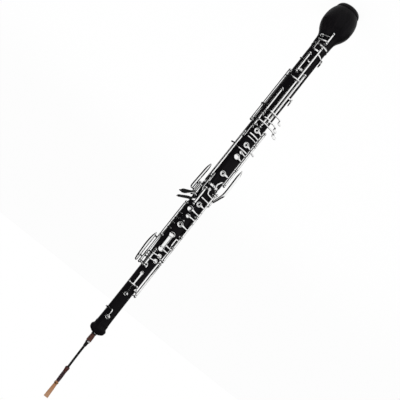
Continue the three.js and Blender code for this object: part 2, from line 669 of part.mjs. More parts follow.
// Wooden sections
function addSection(name, section, outside, inside) {
  const rods = [leftStack, rightStack].filter((line) => line.section === section);
  const shell = turnedShell(outside, inside, section.segments);
  const drilled = cut(cut(shell, section.beds).add(fuse(section.rims)), section.holes);
  const posted = drilled.add(fuse(section.posts));
  addMesh(name, cut(posted, rods.map((line) => rodOf(line, rodRadius + runningGap))), wood);
}

function outlineOf(section, highestShare = 1) {
  return section.outlineShares.filter(([z]) => z <= highestShare)
    .map(([z, r]) => [section.radius * r, heightAt(section, z)]);
}

// The recess for a ring at a section's upper end
function ringSeat(section, ring) {
  const top = heightAt(section, 1);
  const radius = woodRadius(section, 1);
  return [[radius, top - ring.width], [radius - ring.wall, top - ring.width], [radius - ring.wall, top]];
}

function addRing(name, section, ring) {
  const top = heightAt(section, 1);
  const radius = woodRadius(section, 1);
  const low = top - ring.width + seatGap;
  const inner = radius - ring.wall + seatGap;
  const outside = [[radius, low], [radius + ring.bulge, (low + top) / 2], [radius, top]];
  addMesh(name, turnedShell(outside, [[inner, low], [inner, top]], section.segments), silver);
}

function tenonProfile(base, tenon) {
  const end = base - tenon.length;
  const deep = tenon.radius - tenon.corkDepth;
  return [
    [tenon.radius, end], [tenon.radius, end + tenon.shoulder], [deep, end + tenon.shoulder],
    [deep, base - tenon.shoulder], [tenon.radius, base - tenon.shoulder], [tenon.radius, base],
  ];
}

function addTenonCork(name, base, tenon) {
  const low = base - tenon.length + tenon.shoulder + seatGap;
  const high = base - tenon.shoulder - seatGap;
  const inner = tenon.radius - tenon.corkDepth + seatGap;
  addMesh(name, turnedShell([[tenon.radius, low], [tenon.radius, high]], [[inner, low], [inner, high]],
    sides.joint), cork);
}

function socketProfile(top, tenon, bore) {
  const floor = top - tenon.length - seatGap;
  const radius = tenon.radius + seatGap;
  return [[bore, floor], [radius, floor], [radius, top]];
}

const recess = crookSocket.radius + seatGap;
const recessFloor = upperTop - crookSocket.depth - seatGap;
const cavity = bellCavityShares.map(([z, r]) => [bulbRadius * r, bellHeight * z]);
addSection("bell_body", bell,
  [...outlineOf(bell, 0.95), ...ringSeat(bell, bellRing)],
  [...cavity, ...socketProfile(bellHeight, lowerTenon, boreAtBell)]);
addSection("lower_joint_body", lower,
  [...tenonProfile(lowerBase, lowerTenon), ...outlineOf(lower, 0.97), ...ringSeat(lower, lowerRing)],
  [[boreAtBell, lowerBase - lowerTenon.length], ...socketProfile(lowerTop, upperTenon, boreAtMiddle)]);
addSection("upper_joint_body", upper,
  [...tenonProfile(upperBase, upperTenon), ...outlineOf(upper)],
  [[boreAtMiddle, upperBase - upperTenon.length], [boreAtReed, recessFloor], [recess, recessFloor],
    [recess, upperTop]]);
addRing("bell_socket_ring", bell, bellRing);
addRing("lower_socket_ring", lower, lowerRing);
addTenonCork("lower_tenon_cork", lowerBase, lowerTenon);
addTenonCork("upper_tenon_cork", upperBase, upperTenon);

// Crook: a bent tube with its cork, its collar and the ring that lines its socket
const crookStart = upperTop - crookSocket.depth + seatGap;
const lip = upperTop + crookSocket.lip;
const corkTop = lip + seatGap + crook.corkShown;
const crookBore = crook.radius + seatGap;

function crookPoints() {
  const bendStart = upperTop + crook.straight;
  const place = (angle, beyond) => {
    const sideways = crook.bendRadius * (1 - Math.cos(angle)) + beyond * Math.sin(angle);
    const height = bendStart + crook.bendRadius * Math.sin(angle) + beyond * Math.cos(angle);
    const turn = rad(crook.turn);
    return new THREE.Vector3(-sideways * Math.sin(turn), sideways * Math.cos(turn), height);
  };
  const bend = rad(crook.bend);
  return [
    new THREE.Vector3(0, 0, crookStart), new THREE.Vector3(0, 0, (crookStart + bendStart) / 2),
    ...[0, 0.25, 0.5, 0.75, 1].map((share) => place(bend * share, 0)),
    place(bend, crook.tail / 2), place(bend, crook.tail),
  ];
}

const crookRoute = crookPoints();
const crookEnd = crookRoute.at(-1);
const crookDirection = crookEnd.clone().sub(crookRoute.at(-2)).normalize();

function crookTube() {
  const ring = new THREE.Shape().absarc(0, 0, crook.radius, 0, 2 * Math.PI, false);
  ring.holes.push(new THREE.Path().absarc(0, 0, crook.bore, 0, 2 * Math.PI, true));
  return solid(new THREE.ExtrudeGeometry(ring, {
    steps: crook.steps, curveSegments: sides.crook / 2, bevelEnabled: false,
    extrudePath: new THREE.CatmullRomCurve3(crookRoute),
  }));
}

const liner = crookSocket.radius - crookSocket.wall;
const linerFoot = upperTop - crookSocket.depth;
addMesh("crook_socket_ring", turnedShell(
  [[crookSocket.radius, linerFoot], [crookSocket.radius, upperTop + seatGap],
    [recess + seatGap, upperTop + seatGap], [recess + seatGap, lip]],
  [[liner, linerFoot], [liner, lip]], sides.small), silver);
addMesh("crook_cork", turnedShell(
  [[crook.corkEnd, crookStart], [crook.corkEnd, lip + seatGap], [crook.corkFoot, lip + seatGap],
    [crook.corkRadius, corkTop]],
  [[crookBore, crookStart], [crookBore, corkTop]], sides.small), cork);
addMesh("crook_collar", turnedShell(
  [[crook.collarRadius, corkTop + seatGap], [crook.collarRadius, corkTop + crook.collarEdge],
    [crookBore + seatGap, corkTop + crook.collarLength]],
  [[crookBore, corkTop + seatGap], [crookBore, corkTop + crook.collarLength]], sides.small), silver);
addMesh("crook_tube", crookTube(), silver);

// Reed, made along +Z from the end of the crook and then turned to the crook's direction
const reedTurn = new THREE.Quaternion().setFromUnitVectors(new THREE.Vector3(0, 0, 1), crookDirection);
const reedPlace = new THREE.Matrix4().compose(crookEnd, reedTurn, new THREE.Vector3(1, 1, 1));

function addReed(name, shape, material) {
  addMesh(name, shape.transform(Array.from(reedPlace.elements)), material);
}

const windingFoot = reed.sleeveAbove + seatGap;
const windingTop = windingFoot + reed.windingLength;
const bladeFoot = windingTop - reed.lap;

function blade(side) {
  const stations = [
    [bladeFoot, reed.throat, reed.throat, reed.blade], [windingTop, reed.throat, reed.throat, reed.blade],
    [windingTop + reed.wireRise, reed.waist, reed.throat, reed.blade],
    [(windingTop + reed.length) / 2, (reed.waist + reed.tip) / 2, reed.shoulder, reed.blade],
    [reed.length, reed.tip, 2 * reed.tipBlade, reed.tipBlade],
  ];
  const arc = [0, 1, 2, 3, 4, 5, 6].map((k) => (Math.PI * k) / 6);
  return loft(stations.map(([z, wide, deep, wall]) => {
    const edge = (w, d) => (turn) =>
      new THREE.Vector3(w * Math.cos(turn), side * (reed.bladeGap / 2 + d * Math.sin(turn)), z);
    return [...arc.map(edge(wide, deep)), ...arc.toReversed().map(edge(wide - wall, deep - wall))];
  }));
}

addReed("reed_sleeve", turnedShell(
  [[reed.sleeveTop, -reed.sleeveBelow], [reed.sleeveRadius, reed.sleeveFlare - reed.sleeveBelow],
    [reed.sleeveTop, reed.sleeveAbove]],
  [[crookBore, -reed.sleeveBelow], [crookBore, reed.sleeveAbove]], sides.small), sleeveRubber);
addReed("reed_staple", turnedShell(
  [[reed.stapleFoot, seatGap], [reed.stapleTop, reed.stapleLength]],
  [[reed.stapleFoot - reed.stapleWall, seatGap], [reed.stapleTop - reed.stapleWall, reed.stapleLength]],
  sides.crook), brass);
const windingBore = reed.throat + seatGap;
addReed("reed_winding", turnedShell(
  [[reed.windingRadius, windingFoot], [reed.windingRadius + reed.windingSwell, bladeFoot],
    [reed.windingRadius, windingTop]],
  [[crookBore, windingFoot], [crookBore, bladeFoot - seatGap], [windingBore, bladeFoot - seatGap],
    [windingBore, windingTop]], sides.small), thread);
const wireFoot = windingTop + reed.wireRise - reed.wire / 2;
const wireBore = reed.waist + reed.wireGap;
addReed("reed_wire", turnedShell(
  [[wireBore + reed.wire, wireFoot], [wireBore + reed.wire, wireFoot + reed.wire]],
  [[wireBore, wireFoot], [wireBore, wireFoot + reed.wire]], sides.small), brass);
addReed("reed_blade_front", blade(-1), cane);
addReed("reed_blade_back", blade(1), cane);

// Thumb rest on the back of the lower joint, with the ring for a neck strap
function thumbRest() {
  const share = 0.7;
  const inner = woodRadius(lower, share) + seatGap;
  const outer = inner + rest.thickness;
  const foot = heightAt(lower, share) - rest.length / 2;
  const half = rest.width / 2 / inner;
  const shape = new THREE.Shape().absarc(0, 0, outer, Math.PI / 2 - half, Math.PI / 2 + half, false);
  shape.absarc(0, 0, inner, Math.PI / 2 + half, Math.PI / 2 - half, true);
  const curved = solid(new THREE.ExtrudeGeometry(shape, {
    depth: rest.length, bevelEnabled: false, curveSegments: sides.cup / 2,
  }).translate(0, 0, foot));
  const hookShares = [[0, 0.6, 0.8], [0.35, 0.62, 1], [0.8, 0.52, 1], [1, 0.3, 0.9]];
  const root = inner + rest.thickness / 2;
  const hook = bar(hookShares.map(([reachShare, riseShare, widthShare]) => ({
    at: new THREE.Vector3(0, root + rest.hookReach * reachShare, foot + rest.length * riseShare),
    width: rest.hookWidth * widthShare, thick: rest.hookThickness, out: new THREE.Vector3(0, 0, 1),
  })), leafSectionShares);
  const ring = solid(new THREE.TorusGeometry(strapRing.radius, strapRing.wire, sides.tube, sides.small)
    .rotateY(Math.PI / 2).translate(0, outer + strapRing.radius, foot + strapRing.drop));
  return fuse([curved, hook, ring]);
}

addMesh("thumb_rest", thumbRest(), silver);

for (const { name, shape, material } of keys) addMesh(name, shape, material ?? silver);

export default group;
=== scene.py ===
"""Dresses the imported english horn: silver keywork on posts, turned grenadilla, corks, crook and reed."""

import json
import math

import bpy
import numpy as np
from mathutils import Matrix, Vector

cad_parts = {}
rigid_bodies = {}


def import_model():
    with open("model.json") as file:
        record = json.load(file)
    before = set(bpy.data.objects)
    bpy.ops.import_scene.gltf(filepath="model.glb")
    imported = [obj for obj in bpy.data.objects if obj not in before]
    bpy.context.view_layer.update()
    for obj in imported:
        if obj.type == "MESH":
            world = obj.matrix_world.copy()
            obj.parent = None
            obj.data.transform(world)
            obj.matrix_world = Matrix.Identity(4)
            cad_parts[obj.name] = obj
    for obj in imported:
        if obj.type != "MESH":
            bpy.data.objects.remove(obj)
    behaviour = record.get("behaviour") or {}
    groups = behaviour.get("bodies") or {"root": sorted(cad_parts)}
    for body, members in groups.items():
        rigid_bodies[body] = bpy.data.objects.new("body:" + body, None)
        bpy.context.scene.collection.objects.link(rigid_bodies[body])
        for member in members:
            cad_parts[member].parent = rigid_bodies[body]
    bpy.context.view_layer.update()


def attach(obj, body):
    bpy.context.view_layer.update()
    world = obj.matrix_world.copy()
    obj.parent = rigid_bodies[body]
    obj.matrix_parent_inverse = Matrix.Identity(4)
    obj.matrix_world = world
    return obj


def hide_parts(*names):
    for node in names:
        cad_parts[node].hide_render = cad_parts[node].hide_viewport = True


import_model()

# Sizes are in millimetres, as in the part; meshes are made in metres
MM = 0.001

# Sizes shared with the part
BELL_HEIGHT, LOWER_LENGTH, UPPER_LENGTH = 100.5, 338.8, 333
SEAT = 0.3
LOWER_BASE = BELL_HEIGHT + SEAT
LOWER_TOP = LOWER_BASE + LOWER_LENGTH
UPPER_BASE = LOWER_TOP + SEAT
UPPER_TOP = UPPER_BASE + UPPER_LENGTH
LOWER_BORE, UPPER_BORE, TOP_BORE = 8.6, 5.6, 3.2
WELL_DEPTH, WELL_RADIUS = 12, 4.9
TUBE = 2.1
ROD = 0.85
ROD_RISE = 3.9
BALL = 2.6
ARM_WIDTH = 2.9
ARM_THICK = 1.8
BRIDGE_LIFT = 1.2
PAD = 1.6
CUP_HEIGHT = 1.5
SMALL, VENT, TINY, LOW = 4.7, 4.2, 3.4, 7.6
PLATE, SMALL_PLATE = 5.7, 5.35
PLATE_THICK = 1.7
PLATE_WAIST = 7
OPEN_TURN = 4.5
RIM_HEIGHT = 0.8
BED_DEPTH = 1.0
BED_MARGIN = 0.9
# Tenon: radius, length, its shoulders, depth of the bed for the cork
TENON = {"lower": (12, 20, 1.6, 1.3), "upper": (11, 21, 1.6, 1.3)}
# Socket ring: width, wall, height of its beads
RING = {"bell": (3.8, 1.5, .6), "lower": (5.4, 1.5, .5)}

# Fine sizes of the dressing: how far a long arm is flattened, a bridge raised, and how arms are divided
ARM_SAG = 0.9
ARM_LIFT = 0.4
ARM_STEP, ARM_SMOOTHING = 0.9, 5
BALL_SWELL, POST_SUNK = 0.1, 0.4
CHAMFER = 0.3
FINGER_HOLE = 0.38
TOUCH_WIDTH = 6.8
ROD_REACH, ROD_GAP = 4, 0.05


# Geometry

def polar(height, angle, radius):
    """A place by its height, its angle from the front and its radius."""
    turn = math.radians(angle)
    return np.array([radius * math.sin(turn), -radius * math.cos(turn), height])


def outward(angle):
    return polar(0, angle, 1)


def unit(v):
    return v / np.linalg.norm(v)


def spin(degrees):
    """A turn about the long axis."""
    c, s = math.cos(math.radians(degrees)), math.sin(math.radians(degrees))
    return np.array([[c, -s, 0], [s, c, 0], [0, 0, 1]])


class Shell:
    """Points and faces of one closed surface."""

    def __init__(self, points, faces, check=True):
        self.points, self.faces = np.asarray(points, float), faces
        if check and self.volume() < 0:
            self.faces = [face[::-1] for face in faces]

    def volume(self):
        fan = np.array([(f[0], f[j], f[j + 1]) for f in self.faces for j in range(1, len(f) - 1)])
        a, b, c = (self.points[fan[:, k]] for k in range(3))
        return float(np.einsum("ij,ij->", a, np.cross(b, c)))

    def moved(self, matrix, offset=(0, 0, 0)):
        turn = np.asarray(matrix, float)
        faces = self.faces if np.linalg.det(turn) > 0 else [face[::-1] for face in self.faces]
        return Shell(self.points @ turn.T + np.asarray(offset, float), faces, False)


def skin(rings, loop=False):
    """Joins rings of points; a ring of one place closes to a tip."""
    points, faces, rows = [], [], []
    for ring in rings:
        ring = np.asarray(ring, float)
        single = np.ptp(ring, axis=0).max() < 1e-6
        rows.append(range(len(points), len(points) + (1 if single else len(ring))))
        points.extend(ring[:1] if single else ring)
    pairs = list(zip(rows, rows[1:])) + ([(rows[-1], rows[0])] if loop else [])
    for a, b in pairs:
        n = max(len(a), len(b))
        for i in range(n if n > 1 else 0):
            j = (i + 1) % n
            corners = (a[i % len(a)], a[j % len(a)], b[j % len(b)], b[i % len(b)])
            faces.append(tuple(dict.fromkeys(corners)))
    if not loop:
        for row, order in ((rows[0], -1), (rows[-1], 1)):
            if len(row) > 1:
                faces.append(tuple(row)[::order])
    return Shell(points, faces)


def fillet(points, radius, steps):
    """Rounds the corners of an open run of 2-D points."""
    below_half = .48
    p = [np.array(q, float) for q in points]
    out = [p[0]]
    for a, b, c in zip(p, p[1:], p[2:]):
        u, w = a - b, c - b
        lu, lw = np.linalg.norm(u), np.linalg.norm(w)
        cut = min(radius, below_half * lu, below_half * lw)
        s, e = b + u / lu * cut, b + w / lw * cut
        for t in np.linspace(0, 1, steps + 1):
            out.append((1 - t) ** 2 * s + 2 * t * (1 - t) * b + t * t * e)
    out.append(p[-1])
    return out


def lathe(profile, n, loop=False):
    """Turns a profile of (radius, height) about the axis; a loop is hollow."""
    t = np.arange(n) * 2 * math.pi / n
    return skin([np.stack([r * np.cos(t), r * np.sin(t), np.full(n, z)], 1) for r, z in profile], loop)


def turned(profile, corner, steps, n, loop=False):
    """A lathe shape with its corners rounded."""
    return lathe(fillet(profile, corner, steps), n, loop)


def standing_basis(angle):
    out = outward(angle)
    up = np.array([0, 0, 1.0])
    return np.stack([np.cross(up, out), up, out], 1)


def stand(shell, height, angle, radius):
    """Turns a shell's own axis outward and sets it at a place."""
    return shell.moved(standing_basis(angle), polar(height, angle, radius))


SQUARE = ((-1, -1), (1, -1), (1, 1), (-1, 1))


def box_shell(half, centre, turn=0):
    rings = [[(x * half[0], y * half[1], z * half[2]) for x, y in SQUARE] for z in (-1, 1)]
    return skin(rings).moved(spin(turn), centre)


def spline(rows, steps):
    """A smooth run through rows of numbers."""
    rows = np.asarray(rows, float)
    ext = np.vstack([2 * rows[0] - rows[1], rows, 2 * rows[-1] - rows[-2]])
    out = []
    for i in range(1, len(ext) - 2):
        a, b, c, d = ext[i - 1:i + 3]
        for t in np.arange(steps) / steps:
            out.append(.5 * (2 * b + (c - a) * t + (2 * a - 5 * b + 4 * c - d) * t ** 2
                             + (3 * b - a - 3 * c + d) * t ** 3))
    out.append(rows[-1])
    return np.array(out)


def squircle(power, n):
    t = (np.arange(n) + .5) * 2 * math.pi / n
    c, s = np.cos(t), np.sin(t)
    return np.stack([np.sign(c) * abs(c) ** (2 / power), np.sign(s) * abs(s) ** (2 / power)], 1)


# Sections of bars, in halves of their width and thickness
ARM_SECTION = squircle(3.2, 16)
LEAF_SECTION = squircle(2.4, 20)
ROUND_SECTION = squircle(2, 12)
BEVEL_SIDE = [(1, -.97), (.97, -.88), (.34, .93), (.28, 1)]
BEVEL_SECTION = np.array(BEVEL_SIDE + [(-u, v) for u, v in BEVEL_SIDE[::-1]] + [(-.9, -1), (.9, -1)])


def sweep(points, outs, widths, thicks, section=ARM_SECTION, tips=True):
    """A bar along points with its own width and thickness at each, and rounded ends."""
    p = np.asarray(points, float)
    tangent = np.gradient(p, axis=0)
    frames, rings = [], []
    for place, way, out, width, thick in zip(p, tangent, outs, widths, thicks):
        along = unit(way)
        across = unit(np.cross(along, out))
        up = np.cross(across, along)
        frames.append((place, along, across, up, width, thick))
        rings.append(place + (section[:, :1] * across * width / 2 + section[:, 1:] * up * thick / 2))
    if tips:
        rings = tip_rings(frames[0], -1, section)[::-1] + rings + tip_rings(frames[-1], 1, section)
    return skin(rings)


def tip_rings(end, sign, section):
    """Rings that draw in the end of a bar to a rounded tip."""
    place, along, across, up, width, thick = end
    out = []
    for turn in (25, 50, 70, 84):
        c, s = math.cos(math.radians(turn)), math.sin(math.radians(turn))
        flat = .75 + .25 * c
        shape = section[:, :1] * across * width * c / 2 + section[:, 1:] * up * thick * flat / 2
        out.append(place + along * sign * s * width / 2 + shape)
    return out


# Objects

def new_object(name, data):
    obj = bpy.data.objects.new(name, data)
    bpy.context.scene.collection.objects.link(obj)
    return obj


def new_mesh_object(name, points, faces):
    mesh = bpy.data.meshes.new(name)
    mesh.from_pydata(points, [], faces)
    return new_object(name, mesh)


JOBS = []
SHARP = math.radians(34)


def add(name, body, slot_name, base, steps=(), nodes=()):
    """Notes one piece of a body: its base, then each (operation, shells) in turn, as one closed mesh."""
    JOBS.append((name, body, slot_name, base, [step for step in steps if step[1]], nodes))


def make_pieces():
    """Makes all noted pieces, with their booleans worked out together."""
    scene = bpy.context.scene.collection
    made, tools = [], []
    for name, _, _, base, steps, _ in JOBS:
        obj = new_mesh_object(name, (base.points * MM).tolist(), base.faces)
        for operation, shells in steps:
            group = bpy.data.collections.new("tools")
            scene.children.link(group)
            for shell in shells:
                tool = new_mesh_object("tool", (shell.points * MM).tolist(), shell.faces)
                scene.objects.unlink(tool)
                group.objects.link(tool)
            modifier = obj.modifiers.new(operation, "BOOLEAN")
            modifier.operation, modifier.solver = operation, "MANIFOLD"
            modifier.operand_type, modifier.collection = "COLLECTION", group
            tools.append(group)
        made.append(obj)
    graph = bpy.context.evaluated_depsgraph_get()
    cut = [obj for obj in made if len(obj.modifiers)]
    meshes = [bpy.data.meshes.new_from_object(obj.evaluated_get(graph)) for obj in cut]
    for obj, mesh in zip(cut, meshes):
        mesh.name = obj.name
        obj.modifiers.clear()
        obj.data = mesh
    for group in tools:
        for tool in list(group.objects):
            bpy.data.objects.remove(tool)
        bpy.data.collections.remove(group)
    for obj, (_, body, slot_name, _, _, nodes) in zip(made, JOBS):
        obj.data.shade_smooth()
        obj.data.set_sharp_from_angle(angle=SHARP)
        obj.data.materials.clear()
        obj.data.materials.append(MATERIALS[slot_name])
        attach(obj, body)
        if nodes:
            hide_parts(*nodes)


# Materials

class Nodes:
    """Shorthand for building the node tree of a material or of the world."""

    def __init__(self, owner, shader="Principled BSDF"):
        owner.use_nodes = True
        self.owner, self.tree = owner, owner.node_tree
        self.shader = self.tree.nodes[shader]

    def node(self, kind, inputs=(), **settings):
        made = self.tree.nodes.new(kind)
        for key, value in settings.items():
            setattr(made, key, value)
        for key, value in dict(inputs).items():
            self.feed(made.inputs[key], value)
        return made

    def feed(self, socket, value):
        if hasattr(value, "is_output"):
            self.tree.links.new(value, socket)
        else:
            socket.default_value = value

    def set(self, key, value):
        self.feed(self.shader.inputs[key], value)

    def place(self, scale=(1, 1, 1)):
        place = self.node("ShaderNodeTexCoord").outputs["Object"]
        return self.node("ShaderNodeMapping", {"Vector": place, "Scale": scale}).outputs[0]

    def noise(self, scale, detail=4, stretch=(1, 1, 1), roughness=.5):
        inputs = {"Vector": self.place(stretch), "Scale": scale, "Detail": detail, "Roughness": roughness}
        return self.node("ShaderNodeTexNoise", inputs).outputs["Fac"]

    def ramp(self, value, stops):
        made = self.node("ShaderNodeValToRGB", {"Fac": value})
        elements = made.color_ramp.elements
        while len(elements) < len(stops):
            elements.new(.5)
        for element, (position, colour) in zip(elements, stops):
            element.position = position
            element.color = (*colour, 1)
        return made.outputs["Color"]

    def span(self, value, low, high, start=0.0, stop=1.0):
        inputs = {"Value": value, "From Min": start, "From Max": stop, "To Min": low, "To Max": high}
        return self.node("ShaderNodeMapRange", inputs).outputs["Result"]

    def join(self, first, second, operation="ADD"):
        return self.node("ShaderNodeMath", {0: first, 1: second}, operation=operation).outputs[0]

    def surface(self, colour, roughness, relief, **constants):
        """Sets colour, roughness, a relief of (height, strength, distance) and whole-surface constants."""
        bump = self.node("ShaderNodeBump", zip(("Height", "Strength", "Distance"), relief))
        inputs = {"Base Color": colour, "Roughness": roughness, "Normal": bump.outputs["Normal"]}
        for key, value in {**inputs, **constants}.items():
            self.set(key.replace("_", " "), value)
        return self.owner


def material(name):
    return Nodes(bpy.data.materials.new(name))


def plain_material(name, tone, roughness):
    m = material(name)
    m.set("Base Color", (tone, tone, tone, 1))
    m.set("Roughness", roughness)
    m.set("Specular IOR Level", .1)
    return m


def wood_material():
    m = material("grenadilla")
    grain = m.noise(260, 6, (1, 1, .05), .62)
    figure = m.noise(34, 3, (1, 1, .12))
    mixed = m.join(m.span(grain, 0, .6), m.span(figure, 0, .4))
    colour = m.ramp(mixed, [
        (.3, (.0026, .0023, .0029)), (.52, (.0052, .0045, .0056)), (.72, (.0120, .0098, .0106))])
    return m.surface(colour, m.span(grain, .34, .5), (grain, .16, .00012), Specular_IOR_Level=.06)


def metal_material(name, low, high, rough):
    """Polished metal: fine wipe marks, faint clouding and a soft change of gloss."""
    m = material(name)
    cloud = m.noise(70, 3)
    wipe = m.noise(1500, 2, (1, .35, .35))
    gloss = m.span(m.join(m.span(wipe, 0, .5), m.span(cloud, 0, .5)), *rough)
    return m.surface(m.ramp(cloud, [(.3, low), (.7, high)]), gloss, (wipe, .06, .00002), Metallic=1.0)


def cork_material():
    m = material("cork")
    cells = m.node("ShaderNodeTexVoronoi", {"Vector": m.place(), "Scale": 1300.0}).outputs["Distance"]
    patch = m.noise(500, 5)
    colour = m.ramp(patch, [(.3, (.026, .010, .008)), (.5, (.062, .025, .019)), (.75, (.13, .056, .040))])
    relief = (m.join(cells, patch), .5, .0002)
    return m.surface(colour, m.span(patch, .72, .92), relief, Specular_IOR_Level=.25)


def tubing_material():
    m = material("brown_tubing")
    mottled = m.noise(420, 4)
    colour = m.ramp(mottled, [(.3, (.035, .010, .008)), (.7, (.085, .024, .018))])
    return m.surface(colour, m.span(mottled, .42, .62), (mottled, .2, .0001))


def thread_material():
    m = material("burgundy_thread")
    fibre = m.noise(2600, 3, (1, 1, 3))
    tone = m.noise(160, 2)
    colour = m.ramp(m.join(m.span(fibre, 0, .5), m.span(tone, 0, .5)), [
        (.3, (.012, .003, .005)), (.55, (.034, .007, .012)), (.8, (.080, .018, .026))])
    return m.surface(colour, m.span(fibre, .6, .85), (fibre, .4, .00008), Sheen_Weight=.25)


def cane_material():
    """Cane, darker at the wire and paler towards the scraped tip."""
    m = material("cane")
    fibre = m.noise(900, 5, (1, 1, .06), .6)
    place = m.node("ShaderNodeTexCoord").outputs["Object"]
    height = m.node("ShaderNodeSeparateXYZ", {"Vector": place}).outputs[2]
    level = m.span(height, 0, 1, .872, .914)
    colour = m.ramp(m.join(m.span(level, 0, .75), m.span(fibre, -.1, .3)), [
        (0, (.25, .105, .042)), (.3, (.32, .14, .062)), (.5, (.37, .18, .088)), (.95, (.42, .25, .15))])
    return m.surface(colour, m.span(fibre, .42, .7), (fibre, .35, .0001),
                     Subsurface_Weight=.06, Subsurface_Radius=(.002, .001, .0005))


MATERIALS = {
    "grenadilla": wood_material(),
    "silver_plate": metal_material("silver_plate", (.90, .90, .895), (.98, .98, .975), (.09, .20)),
    "steel": metal_material("steel", (.22, .23, .26), (.42, .43, .46), (.20, .36)),
    "brass": metal_material("brass", (.50, .34, .13), (.72, .52, .24), (.18, .34)),
    "cork": cork_material(),
    "brown_tubing": tubing_material(),
    "burgundy_thread": thread_material(),
    "cane": cane_material(),
}


# Turned sections, with outlines as shares of their length and of their widest radius

class Section:
    def __init__(self, name, base, length, radius, outline):
        self.name, self.base, self.length, self.radius, self.outline = name, base, length, radius, outline
        self.posts, self.beds, self.rims, self.holes, self.screws = [], [], [], [], []

    def height(self, share):
        return self.base + self.length * share

    def wood(self, share):
        """Radius of the wood at a share of the length."""
        return self.radius * float(np.interp(share, *zip(*self.outline)))


bell = Section("bell", 0, BELL_HEIGHT, 32.2, [
    (0, .61), (.012, .665), (.032, .715), (.057, .755), (.08, .772), (.099, .75), (.114, .8), (.164, .875),
    (.227, .945), (.31, .99), (.394, 1), (.478, .98), (.551, .92), (.624, .82), (.681, .712), (.734, .628),
    (.781, .583), (.833, .56), (1, .55)])
lower = Section("lower_joint", LOWER_BASE, LOWER_LENGTH, 16.6, [
    (0, .99), (.28, 1), (.5, .965), (.85, .985), (1, .985)])
upper = Section("upper_joint", UPPER_BASE, UPPER_LENGTH, 16, [
    (0, 1), (.2, .975), (.32, .965), (.413, .869), (.494, .785), (.575, .72), (.85, .725), (.925, .75),
    (.936, .79), (.95, .79), (.956, .83), (.966, .965), (.977, .94), (.988, .83), (1, .44)])


# Hinge lines with their posts

class Line:
    """A hinge along a section, with a post at each of its shares."""

    def __init__(self, section, angle, widest, posts, rod=False):
        self.section, self.angle, self.posts, self.rod = section, angle, posts, rod
        self.radius = section.wood(widest) + ROD_RISE
        self.foot = polar(0, angle, self.radius)
        for share in posts:
            add_post(section, share, angle, self.radius)
        if not rod:
            self.add_pivot(min(posts), -1)
            self.add_pivot(max(posts), 1)

    def add_pivot(self, share, sign):
        """Slotted end of a pivot screw in the outer face of a post."""
        radius, length, sunk = 1.05, 1.15, .9
        start = self.section.height(share) + sign * (BALL - sunk)
        profile = [(0, 0), (radius, 0), (radius, length), (0, length)]
        screw = turned(profile, .18, 2, 20).moved(np.diag([1, 1, sign]), self.foot + (0, 0, start))
        slot = box_shell((1.3, .18, .5), self.foot + (0, 0, start + sign * length), 30 + self.angle)
        self.section.screws.append((screw, slot))

    def on(self, share, angle=None, rise=0.0):
        """A place at the hinge, or at another angle and a rise above it."""
        return (share, self.angle if angle is None else angle, self.radius + rise)

    def arm(self, share, widths, *stops):
        """An arm from the hinge through (share, angle, rise) stops."""
        return arm(self.section, [self.on(share), *[self.on(*stop) for stop in stops]], widths)

    def tube(self, span):
        """The tube of a key, along a span or the whole line, with a fine collar at each chamfered end."""
        low, high = [
            self.section.height(share) + sign * (BALL + SEAT if share in self.posts else SEAT / 2)
            for share, sign in zip(span or (self.posts[0], self.posts[-1]), (1, -1))]
        wide, collar = TUBE + .25, TUBE + .42
        end = [(0, 0), (collar - CHAMFER, 0), (collar, CHAMFER), (collar, 1.1), (wide, 1.4)]
        profile = [(r, low + z) for r, z in end] + [(r, high - z) for r, z in end[::-1]]
        return turned(profile, .15, 2, 28).moved(np.eye(3), self.foot)

    def rod_shell(self, radius, spare):
        """A rod through all posts, longer by a spare at each end."""
        low, high = [self.section.height(share) for share in (min(self.posts), max(self.posts))]
        low, high = low - BALL - spare, high + BALL + spare
        profile = [(0, low), (radius, low), (radius, high), (0, high)]
        return turned(profile, .15, 2, 24).moved(np.eye(3), self.foot)


def add_post(section, share, angle, radius):
    """Flanged foot, waisted stem and a ball for the hinge."""
    foot = section.wood(share) - POST_SUNK
    tall = radius - foot
    ball = BALL + BALL_SWELL
    base = [(0, 0), (2.2, 0), (2.2, .7), (1.7, 1), (1.2, min(1.9, tall * .45)), (1.08, tall - ball * .95)]
    arc = [(ball * math.cos(t), tall + ball * math.sin(t)) for t in np.radians(np.linspace(-58, 90, 12))]
    arc[-1] = (0, arc[-1][1])
    section.posts.append(stand(lathe(fillet(base, .22, 2) + arc, 28), section.height(share), angle, foot))


# Arms, cups, plates and touches

# Widths of arms at even steps from the hinge outward
BENT = (3.6, 2.6, 2.6, 3.2)
LINK = (3.6, 2.6, 2.6, 3.3)
SHORT = (3.4, 3, 3.2)
TOUCH_ARM = (3.6, 2.8, 3)


def arm(section, places, widths):
    """An arm over the wood through (share, angle, radius) places, with rounded bends."""
    rows = [np.array([section.height(s), a, r]) for s, a, r in places]
    fine = [rows[0]]
    for a, b in zip(rows, rows[1:]):
        reach = math.hypot(b[0] - a[0], math.radians(b[1] - a[1]) * b[2], b[2] - a[2])
        count = max(2, math.ceil(reach / ARM_STEP))
        half = math.radians(abs(b[1] - a[1])) / 2
        flatness = min(1, ARM_SAG / max(a[2] * (1 - math.cos(half)), ARM_SAG))
        for k in range(1, count + 1):
            row = a + (b - a) * k / count
            row[2] *= 1 - flatness * (1 - math.cos(half) / math.cos(half * (1 - 2 * k / count)))
            fine.append(row)
    fine = np.array(fine)
    for _ in range(ARM_SMOOTHING):
        fine[1:-1] = .25 * fine[:-2] + .5 * fine[1:-1] + .25 * fine[2:]
    steps = np.linspace(0, 1, len(fine))
    width = np.interp(steps, np.linspace(0, 1, len(widths)), widths)
    outs = [outward(row[1]) for row in fine]
    return sweep([polar(*row) for row in fine], outs, width, [ARM_THICK] * len(fine))


